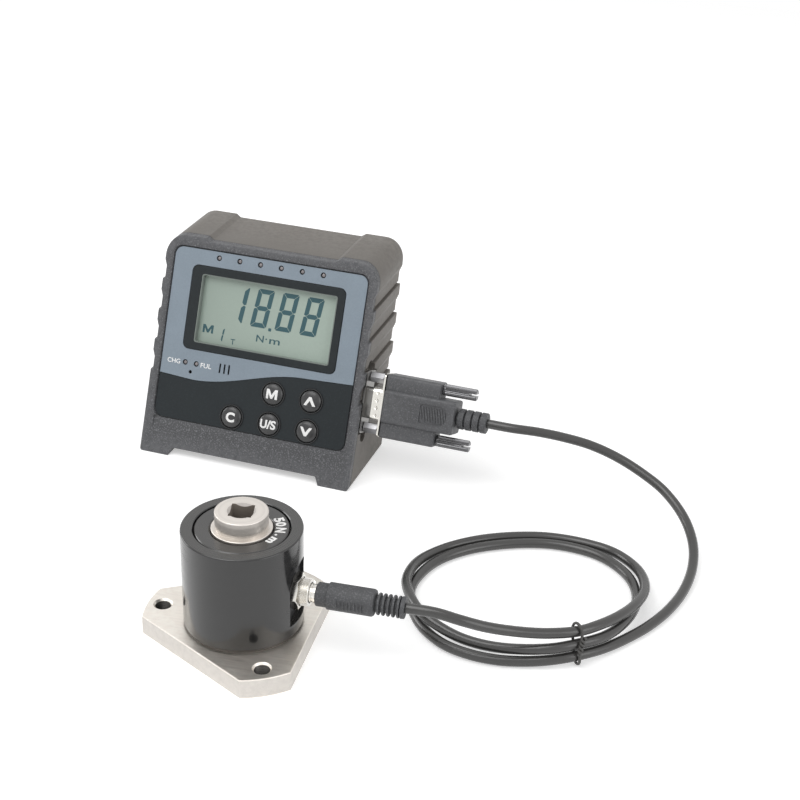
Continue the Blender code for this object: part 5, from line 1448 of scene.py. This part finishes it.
    def build_relief(self) -> Piece:
        """Build the ringed strain relief."""
        length, rings = 0.0148, 4
        pitch = length / rings
        outline: list[Point] = [(0, length)]
        for number in range(rings, 0, -1):
            outline += ring(0.0050, 0.0034, pitch * number, pitch * 0.78, pitch * (number - 1))
        outline.append((0, 0))
        form = place(lathe(outline, 40), PORT @ shift(z=self.relief_start))
        return self.put("hood_relief_rings", form, "hood", "hood_relief")

    def build_thumbscrew(self, name: str, side: int) -> Piece:
        """Build one long thumbscrew, with its flutes and its slot.

        Args:
            name: Whether it is the upper or the lower one.
            side: 1 for the upper, -1 for the lower.

        Returns:
            The piece.
        """
        teeth = 22
        flutes = []
        for number in range(2 * teeth):
            angle = math.pi * number / teeth
            radius = 0.00285 if number % 2 else 0.00255
            flutes.append((radius * math.cos(angle), radius * math.sin(angle)))
        start, end = self.thumb_start, self.thumb_start + self.thumb_length
        taper = lathe([(0, end), (0.0024, end), (0.0029, end - 0.0005), (0.0029, start + 0.0010),
                       (0.0025, start + 0.0009), (0.0025, start + 0.0006), (0.0028, start + 0.0005),
                       (0.0028, start), (0, start)], 48)
        head = combine(slab([flutes], start, end), [taper], Operation.KEEP)
        slot = slab([rectangle(-0.0050, 0.0050, -0.0005, 0.0005)], end - 0.0035, end + 0.0035)
        head = combine(head, [slot])
        shank = rod(0.0012, 0.0044, start + OVER, sides=20)
        form = place(merged([head, shank]), PORT @ shift(y=side * PORT_SCREW))
        return self.put(f"{name}_thumbscrew", form, "screw", f"thumbscrew_{name}", body=f"{name}_screw")

    def build(self) -> list[Piece]:
        """Build the port and the plug, and return the plug's pieces."""
        self.build_socket()
        return [
            self.build_shell(), self.build_hood(), self.build_relief(),
            self.build_thumbscrew("upper", 1), self.build_thumbscrew("lower", -1),
        ]


@dataclass
class Sensor(Assembly):
    """The torque sensor on its bolt-down plate, and the round plug in its side."""

    plate_thickness: float = 0.0090
    plate_chord: float = 0.0296
    plate_radius: float = 0.0424
    hole_circle: float = 0.0357
    screw_circle: float = 0.0130
    sleeve_radius: float = 0.0250
    sleeve_bore: float = 0.0200
    sleeve_bottom: float = 0.0101
    sleeve_top: float = 0.0536
    recess_flat: float = 0.0216
    recess_radius: float = 0.0096
    recess_bottom: float = 0.0150
    collar_top: float = 0.0538
    boss_top: float = 0.0612
    square: float = 0.00953
    square_depth: float = 0.0140
    plug_start: float = 0.0318
    plug_end: float = 0.0687

    def around(self, radius: float, start: float) -> list[Point]:
        """Return three places on a circle, the first at an angle in degrees."""
        return arc(0, 0, radius, math.radians(start), 2 * math.pi, 3)[:3]

    def build_plate(self) -> None:
        """Build the bolt-down plate with its holes and its seat."""
        half = math.radians(60) - math.acos(self.plate_chord / self.plate_radius)
        outline = []
        for number in range(3):
            corner = math.radians(60 + 120 * number)
            outline += arc(0, 0, self.plate_radius, corner - half, 2 * half, 24)
        plate = slab([outline], 0, self.plate_thickness)
        soften(plate, 0.0005, rim(plate, self.plate_thickness) + rim(plate, 0), 2)
        seat = lathe([(0, 0.0098), (0.0241, 0.0098), (0.0243, 0.0096), (0.0243, 0.0080), (0, 0.0080)], 96)
        plate = combine(plate, [seat], Operation.JOIN)
        cutters = []
        bolts = self.around(self.hole_circle, 60)
        for spot in bolts:
            thread: list[Point] = [(0, -OVER), (0.0034, -OVER)]
            for turn in range(10):
                thread += [(0.0034, 0.0008 * turn + 0.0002), (0.0031, 0.0008 * turn + 0.0006)]
            bore = lathe([*thread, (0.0033, 0.0082), (0.0041, 0.0090), (0.0051, 0.0100), (0, 0.0100)], 40)
            cutters.append(place(bore, shift(*spot)))
        for spot in self.around(self.screw_circle, 0):
            passage = lathe([(0, -OVER), (0.0040, -OVER), (0.0040, 0.0046), (0.0023, 0.0046),
                             (0.0023, 0.0110), (0, 0.0110)], 32)
            cutters.append(place(passage, shift(*spot)))
        plate = combine(plate, cutters)
        for face in plate.faces:
            middle = face.calc_center_median()
            out = math.hypot(middle.x, middle.y)
            in_bore = any(math.dist(middle.xy, spot) < 0.0038 for spot in bolts)
            on_seat = out > 0.0235 and 0.00905 < middle.z < 0.00975
            # The sides get milled steel; the threaded bores and the seat's side under the sleeve's overhang
            # get painted shade
            if abs(face.normal.z) < 0.2 and out > 0.0290 and not in_bore:
                face.material_index = 2
            else:
                face.material_index = int(on_seat or in_bore and 0.0001 < middle.z < 0.0084)
        self.put("bolt_down_plate", place(plate, SENSOR), ["steel", "thread", "milled"], "base_plate")

    def build_sleeve(self) -> None:
        """Build the black sleeve and its recess, with its top faces in a paler satin black, partly painted
        light from above.
        """
        top, bottom, edge, ease = self.sleeve_top, self.sleeve_bottom, 0.0007, 0.0003
        radius, bore = self.sleeve_radius, self.sleeve_bore
        outline = [(bore + ease, top), (radius - edge, top)]
        outline += arc(radius - edge, top - edge, edge, math.pi / 2, -math.pi / 2, 5)[1:]
        outline += [(radius, bottom + ease), (radius - ease, bottom), (bore, bottom), (bore, top - ease)]
        sleeve = lathe(outline, 128, ring=True)
        low, wide = self.recess_bottom - LEAD_HEIGHT, self.recess_radius
        straight = low + 2 * wide + low / 6
        recess = [(-wide, low), (wide, low), *arc(0, straight, wide, 0, math.pi, 24)]
        cutters = [
            slab([recess], self.recess_flat, radius + OVER),
            rod(0.0061, self.recess_flat / 2, self.recess_flat + OVER, sides=40),
        ]
        sleeve = combine(sleeve, [place(cutter, SENSOR.inverted() @ LEAD) for cutter in cutters])
        for face in sleeve.faces:
            middle = face.calc_center_median()
            sunk = math.hypot(middle.x, middle.y) < radius - 0.0001
            # Faces that look up get the paler satin black: a satin top, partly painted light from above
            if face.normal.z > 0.95:
                face.material_index = 1
            elif sunk and abs(middle.y) < wide + 0.0002 and self.recess_bottom < middle.z < 0.0380:
                face.material_index = 2
        self.put("sleeve_turned", place(sleeve, SENSOR), ["black", "satin", "inside"], "sleeve")

    def build_cap(self) -> None:
        """Build the cap ring and the range that is printed on it."""
        top, bore, reach = 0.0533, 0.0129, self.sleeve_bore - 2 * GAP
        cap = lathe([(bore, top - 0.0007), (bore + 0.0006, top - 0.0002), (bore + 0.0009, top),
                     (reach - 0.0004, top), (reach, top - 0.0004), (reach, 0.0473), (bore, 0.0473)], 128,
                    ring=True)
        self.put("cap_disc", place(cap, SENSOR), "cap", "cap_ring")
        marks = [("5", 36.3, 0.0031, 0.0137, 0.0180), ("0", 23.8, 0.0031, 0.0137, 0.0180),
                 ("N", 7.6, 0.0036, 0.0137, 0.0180), ("·", -6.5, 0.0011, 0.0144, 0.0155),
                 ("m", -22.2, 0.0045, 0.0139, 0.0168)]
        forms = []
        for text, angle, width, low, high in marks:
            mark = lettering(text, -width / 2, width / 2, low, high, 0.045)
            forms.append(place(mark, Matrix.Rotation(math.radians(angle - 90), 4, "Z")))
        marking = place(merged(forms), SENSOR @ shift(z=top))
        self.put("cap_marking", marking, "white", slot="cap_ring")

    def build_shaft(self) -> None:
        """Build the shaft with its collar, boss and square drive."""
        end, collar = self.boss_top, self.collar_top
        neck = end - (end - collar) * 0.7
        shaft = lathe([
            (0, end), (0.0105, end), (0.01079, end - 0.00006), (0.01094, end - 0.00021),
            (0.0110, end - 0.0005), (0.0110, neck), (0.0108, neck - GAP), (0.0108, collar),
            (0.01235, collar), (0.01255, collar - 0.0002), (0.01255, 0.0471), (0.0100, 0.0471),
            (0.0100, 0.0378), (0.0075, 0.0368), (0.0075, 0.0171), (0.0170, 0.0171), (0.0170, 0.0101),
            (0, 0.0101)], 96)
        half = self.square / 2
        square = slab([rectangle(-half, half, -half, half, 0.0004)], end - self.square_depth, end + OVER)
        place(square, Matrix.Rotation(math.radians(7), 4, "Z"))
        sink = cone(half, half + 0.0022, end - 0.0011, end + 0.0011)
        threads = [rod(0.0023, 0.0091, 0.0151, spot, 24) for spot in self.around(self.screw_circle, 0)]
        shaft = combine(shaft, [square, sink, *threads])
        for face in shaft.faces:
            middle = face.calc_center_median()
            sunk = 0.00005 < end - middle.z < self.square_depth + 0.0001
            # Painted shade: the walls and floor of the square hole get a darker, less metallic steel; its
            # chamfer gets the lip
            if sunk and math.hypot(middle.x, middle.y) < 0.0072:
                face.material_index = 2 if 0.3 < abs(face.normal.z) < 0.9 else 1
        self.put("square_drive_shaft", place(shaft, SENSOR), ["turned", "pit", "lip"], "drive_shaft")

    def build_socket(self) -> Piece:
        """Build the socket in the recess, its nut, and return the plug's metal shell."""
        outline: list[Point] = [(0, 0.0230), (0.0044, 0.0230), (0.0044, 0.0290), (0.0056, 0.0290)]
        for number in range(7):
            crest = 0.0289 - 0.0005 * number
            outline += [(0.0058, crest - 0.0001), (0.0055, crest - 0.00035)]
        outline += [(0.0055, 0.0250), (0.0058, 0.0248), (0.0058, 0.01828), (0.0074, 0.01828),
                    (0.0074, 0.01708), (0.0058, 0.01708), (0.0058, 0.01408), (0, 0.01408)]
        self.put("sensor_socket", place(lathe(outline, 48), LEAD), "nickel", "panel_socket")
        chamfer = lathe([(0, 0.0253), (0.0064, 0.0253), (0.0080, 0.0244), (0.0080, 0.0226),
                         (0.0066, 0.0218), (0, 0.0218)], 64)
        bore = rod(0.0061, 0.0210, 0.0262, sides=48)
        self.put("sensor_socket_nut", place(nut(0.0068, 0.0219, 0.0252, chamfer, bore), LEAD), "tin",
                 "socket_nut")
        end = self.plug_start - GAP
        shell = lathe([(0, end), (0.0040, end), (0.0040, 0.0306), (0.0037, 0.0305), (0.0037, 0.0301),
                       (0.0040, 0.0300), (0.0040, 0.0233), (0, 0.0233)], 48)
        return self.put("plug_barrel", place(shell, LEAD), "nickel", "round_plug_shell")

    def build_plug(self) -> Piece:
        """Build the moulded round plug with its grips and its ringed tail."""
        collar_end, body_end, rings = 0.0366, 0.0563, 6
        pitch = 0.0124 / rings
        outline: list[Point] = [(0, self.plug_end)]
        for number in range(rings, 0, -1):
            top = body_end + pitch * number
            thick = pitch * (0.80 if number == rings else 0.45)
            outline += ring(0.0046, 0.0029, top, thick, top - pitch + 0.0001)
        outline += [(0.0040, body_end + 0.0001), (0.0046, body_end), (0.0053, body_end - 0.0003),
                    (0.0057, body_end - 0.0010), (0.0057, collar_end + 0.0002), (0.0055, collar_end),
                    (0.0050, collar_end), (0.0050, self.plug_start + 0.0003),
                    (0.0047, self.plug_start), (0, self.plug_start)]
        plug = lathe(outline, 48)
        cutters = []
        length, ribs = 0.0120, 8
        middle = (collar_end + body_end) / 2 + 0.0005
        for side in (-1, 1):
            for number in range(ribs):
                row = middle + length / ribs * (number + 0.5) - length / 2
                groove = slab([rectangle(-0.0005, 0.0005, -0.0026, 0.0026, 0.0004)], -0.0005, 0.0005)
                spot = shift(side * 0.0057, 0, row) @ Matrix.Rotation(math.pi / 2, 4, "Y")
                cutters.append(place(groove, spot))
        plug = combine(plug, cutters)
        return self.put("round_plug_moulding", place(plug, LEAD), "hood", "round_plug")

    def build(self) -> list[Piece]:
        """Build the sensor, and return the pieces of the cable's plug."""
        self.build_plate()
        self.build_sleeve()
        self.build_cap()
        self.build_shaft()
        self.paint("bearing", "tin")
        self.paint("gauge_board", "board")
        for number in range(1, 4):
            self.paint(f"flange_screw_{number}", "zinc")
        return [self.build_socket(), self.build_plug()]


@dataclass
class Cable(Assembly):
    """The cable on the bench and the twist tie round its three strands."""

    diameter: float = 0.0045
    start: float = 0.0612
    end: float = 0.0690
    ease: float = 0.0120
    tie_low: Vector = Vector((0.1755, -0.0500, 0.0041))
    tie_middle: Vector = Vector((0.1748, -0.0491, 0.0090))
    tie_top: Vector = Vector((0.1737, -0.0475, 0.0139))
    strand_before: Vector = Vector((0.1848, -0.0367, 0.0078))
    strand_after: Vector = Vector((0.1631, -0.0561, 0.0082))
    tie_radius: float = 0.0006
    tie_knot: float = 0.0052
    tie_step: float = 0.0018

    def route(self) -> list[Vector]:
        """Return the points that the cable goes through, from the display's plug to the sensor's."""
        bench = [
            (0.1244, 0.0727, 0.0352), (0.1365, 0.0757, 0.0332), (0.1489, 0.0781, 0.0304),
            (0.1620, 0.0781, 0.0266), (0.1753, 0.0752, 0.0222), (0.1874, 0.0705, 0.0174),
            (0.1986, 0.0604, 0.0120), (0.2057, 0.0471, 0.0074), (0.2085, 0.0323, 0.0040),
            (0.2079, 0.0155, 0.0025), (0.2046, -0.0009, 0.0024), (0.1990, -0.0158, 0.0024),
            (0.1921, -0.0281, 0.0024), (0.1844, -0.0397, 0.0030), self.tie_low,
            (0.1659, -0.0560, 0.0034), (0.1556, -0.0599, 0.0026), (0.1445, -0.0628, 0.0024),
            (0.1321, -0.0631, 0.0024), (0.1198, -0.0598, 0.0024), (0.1078, -0.0508, 0.0024),
            (0.0990, -0.0374, 0.0024), (0.0951, -0.0227, 0.0024), (0.0986, -0.0042, 0.0024),
            (0.1090, 0.0109, 0.0024), (0.1242, 0.0223, 0.0024), (0.1412, 0.0295, 0.0024),
            (0.1574, 0.0307, 0.0024), (0.1708, 0.0268, 0.0024), (0.1829, 0.0167, 0.0024),
            (0.1895, 0.0021, 0.0028), (0.1902, -0.0171, 0.0054), self.strand_before,
            self.tie_middle, self.strand_after, (0.1463, -0.0577, 0.0052),
            (0.1315, -0.0572, 0.0044), (0.1191, -0.0552, 0.0060), (0.1075, -0.0500, 0.0082),
            (0.0984, -0.0389, 0.0084), (0.0932, -0.0263, 0.0074), (0.0926, -0.0085, 0.0046),
            (0.0989, 0.0079, 0.0026), (0.1104, 0.0202, 0.0024), (0.1246, 0.0293, 0.0024),
            (0.1406, 0.0353, 0.0024), (0.1579, 0.0366, 0.0024), (0.1736, 0.0328, 0.0028),
            (0.1865, 0.0198, 0.0048), (0.1925, 0.0034, 0.0074), (0.1920, -0.0125, 0.0098),
            (0.1876, -0.0270, 0.0118), (0.1812, -0.0387, 0.0132), self.tie_top,
            (0.1626, -0.0545, 0.0148), (0.1514, -0.0604, 0.0168), (0.1406, -0.0667, 0.0204),
            (0.1309, -0.0717, 0.0246),
        ]
        first = [PORT @ Vector((0, 0, self.start + ease)) for ease in (0, self.ease)]
        last = [LEAD @ Vector((0, 0, self.end + ease)) for ease in (self.ease, 0)]
        return first + [Vector(point) for point in bench] + last

    def tie_path(self) -> list[Vector]:
        """Return the middle of the twist tie: round the strands, its ends twisted together in front."""
        up = (self.tie_top - self.tie_low).normalized()
        strand = (self.strand_after - self.strand_before).normalized()
        front = up.cross(strand)
        reach = self.diameter / 2 + 2 * GAP + self.tie_radius
        knot = (self.tie_low + self.tie_top) / 2 + (reach + 0.0004) * front
        loop = []
        for centre, start in ((self.tie_low, 0), (self.tie_top, 180)):
            for step in range(13):
                angle = math.radians(start - 15 * step)
                slide = self.tie_step * (0.5 - len(loop) / 25)
                out = math.cos(angle) * front + math.sin(angle) * up
                loop.append(centre + reach * out + slide * strand)
        ends: list[list[Vector]] = []
        for turn in (0, math.pi):
            end = []
            for step in range(29):
                share = step / 28
                angle = turn + share * 3.5 * math.pi
                spot = knot + (0.5 - share) * (self.tie_knot * up - self.tie_step * strand)
                out = math.cos(angle) * strand + math.sin(angle) * front
                end.append(spot + self.tie_radius * 1.1 * out)
            ends.append(end)
        first_tip = ends[1][0] + 0.0011 * front + 0.0007 * up
        last_tip = ends[0][-1] + 0.0012 * front - 0.0010 * up
        return [first_tip, *ends[1], *loop, *ends[0], last_tip]

    def build(self, on_it: Sequence[Piece]) -> None:
        """Args:
            on_it: The pieces at the cable's two ends; not used.
        """
        path = smooth_path(self.route(), 420)
        cable = wire("cable_jacket", path, self.diameter / 2)
        cable.data.materials.append(self.finishes["lead"])
        self.settle(cable, "cable")
        tie = wire("cable_twist_tie", smooth_path(self.tie_path(), 160), self.tie_radius, 3)
        tie.data.materials.append(self.finishes["strap"])
        self.settle(tie, "cable_tie")


@dataclass
class Stage:
    """The plain pale floor, the light and the camera."""

    lens: float = 71.894
    eye: Vector = Vector((0.27136, -0.57943, 0.40121))
    right: Vector = Vector((0.94425, 0.32820, 0.02601))
    up: Vector = Vector((-0.17496, 0.43333, 0.88409))
    back: Vector = Vector((0.27888, -0.83935, 0.46660))
    world_level: float = 0.55
    floor_glow: float = 0.44
    floor_size: float = 1.1
    aim: Vector = Vector((0.06, 0, 0.03))
    lamps: tuple[tuple[str, Corner, float, float], ...] = (
        ("key_lamp", (-0.25, -0.45, 1.15), 0.9, 6.5),
        ("fill_lamp", (1.20, -0.35, 0.55), 0.8, 3.2),
        ("side_lamp", (-1.10, 0.10, 0.45), 0.5, 2.5),
    )

    def bright_rays(self, graph: Graph) -> Socket:
        """Return 1 for the rays that see the background, and 0 for the rest."""
        rays = graph.node("ShaderNodeLightPath")
        seen = graph.math("MAXIMUM", rays.outputs["Is Camera Ray"], rays.outputs["Is Glossy Ray"])
        return graph.math("MAXIMUM", seen, rays.outputs["Is Transmission Ray"])

    def build_camera(self) -> None:
        """Stand the camera where the photograph was taken from."""
        data = bpy.data.cameras.new("camera")
        data.lens = self.lens
        data.sensor_width = 36.0
        data.clip_start = 0.01
        camera = show("camera", data)
        matrix = Matrix((self.right, self.up, self.back)).transposed().to_4x4()
        matrix.translation = self.eye
        camera.matrix_world = matrix
        bpy.context.scene.camera = camera

    def build_world(self) -> None:
        """Light the scene evenly, with white where the camera or a reflection sees it."""
        world = bpy.data.worlds.new("studio")
        world.use_nodes = True
        bpy.context.scene.world = world
        graph = Graph(world.node_tree)
        level = graph.scale(self.bright_rays(graph), self.world_level, 1.0)
        graph.fill(world.node_tree.nodes["Background"], Color=(1.0, 1.0, 1.0, 1.0), Strength=level)

    def build_lamp(self, name: str, spot: Vector, size: float, power: float) -> None:
        """Hang a soft square lamp that points at the object."""
        data = bpy.data.lights.new(name, "AREA")
        data.size = size
        data.energy = power
        lamp = show(name, data)
        lamp.location = spot
        lamp.rotation_euler = (spot - self.aim).to_track_quat("Z", "Y").to_euler()

    def build_floor(self) -> None:
        """Lay the white floor, which keeps the object's shadow."""
        form = new_form()
        bmesh.ops.create_grid(form, x_segments=2, y_segments=2, size=self.floor_size)
        mesh = mesh_of("floor", form)
        material = bpy.data.materials.new("floor_white")
        material.use_nodes = True
        graph = Graph(material.node_tree)
        glow = graph.math("MULTIPLY", self.bright_rays(graph), self.floor_glow)
        graph.fill(material.node_tree.nodes["Principled BSDF"], Base_Color=(0.82, 0.82, 0.82, 1.0),
                   Roughness=0.9, Specular_IOR_Level=0.0, Emission_Color=(1.0, 1.0, 1.0, 1.0),
                   Emission_Strength=glow)
        mesh.materials.append(material)
        show("floor", mesh)

    def build(self) -> None:
        """Set up the view, the light and the floor."""
        bpy.context.scene.view_settings.view_transform = "Standard"
        self.build_camera()
        self.build_world()
        for name, spot, size, power in self.lamps:
            self.build_lamp(name, Vector(spot), size, power)
        self.build_floor()


def main() -> None:
    """Dress the whole object, and set the scene round it."""
    logging.basicConfig(level=logging.INFO, format="%(name)s: %(message)s")
    Stage().build()
    finishes = make_finishes()
    plug = Plug(finishes).build()
    round_plug = Sensor(finishes).build()
    Cable(finishes).build([*plug, *round_plug])
    Housing(finishes).build()
    Face(finishes).build()
    Buttons(finishes).build()


if __name__ == "__main__":
    main()
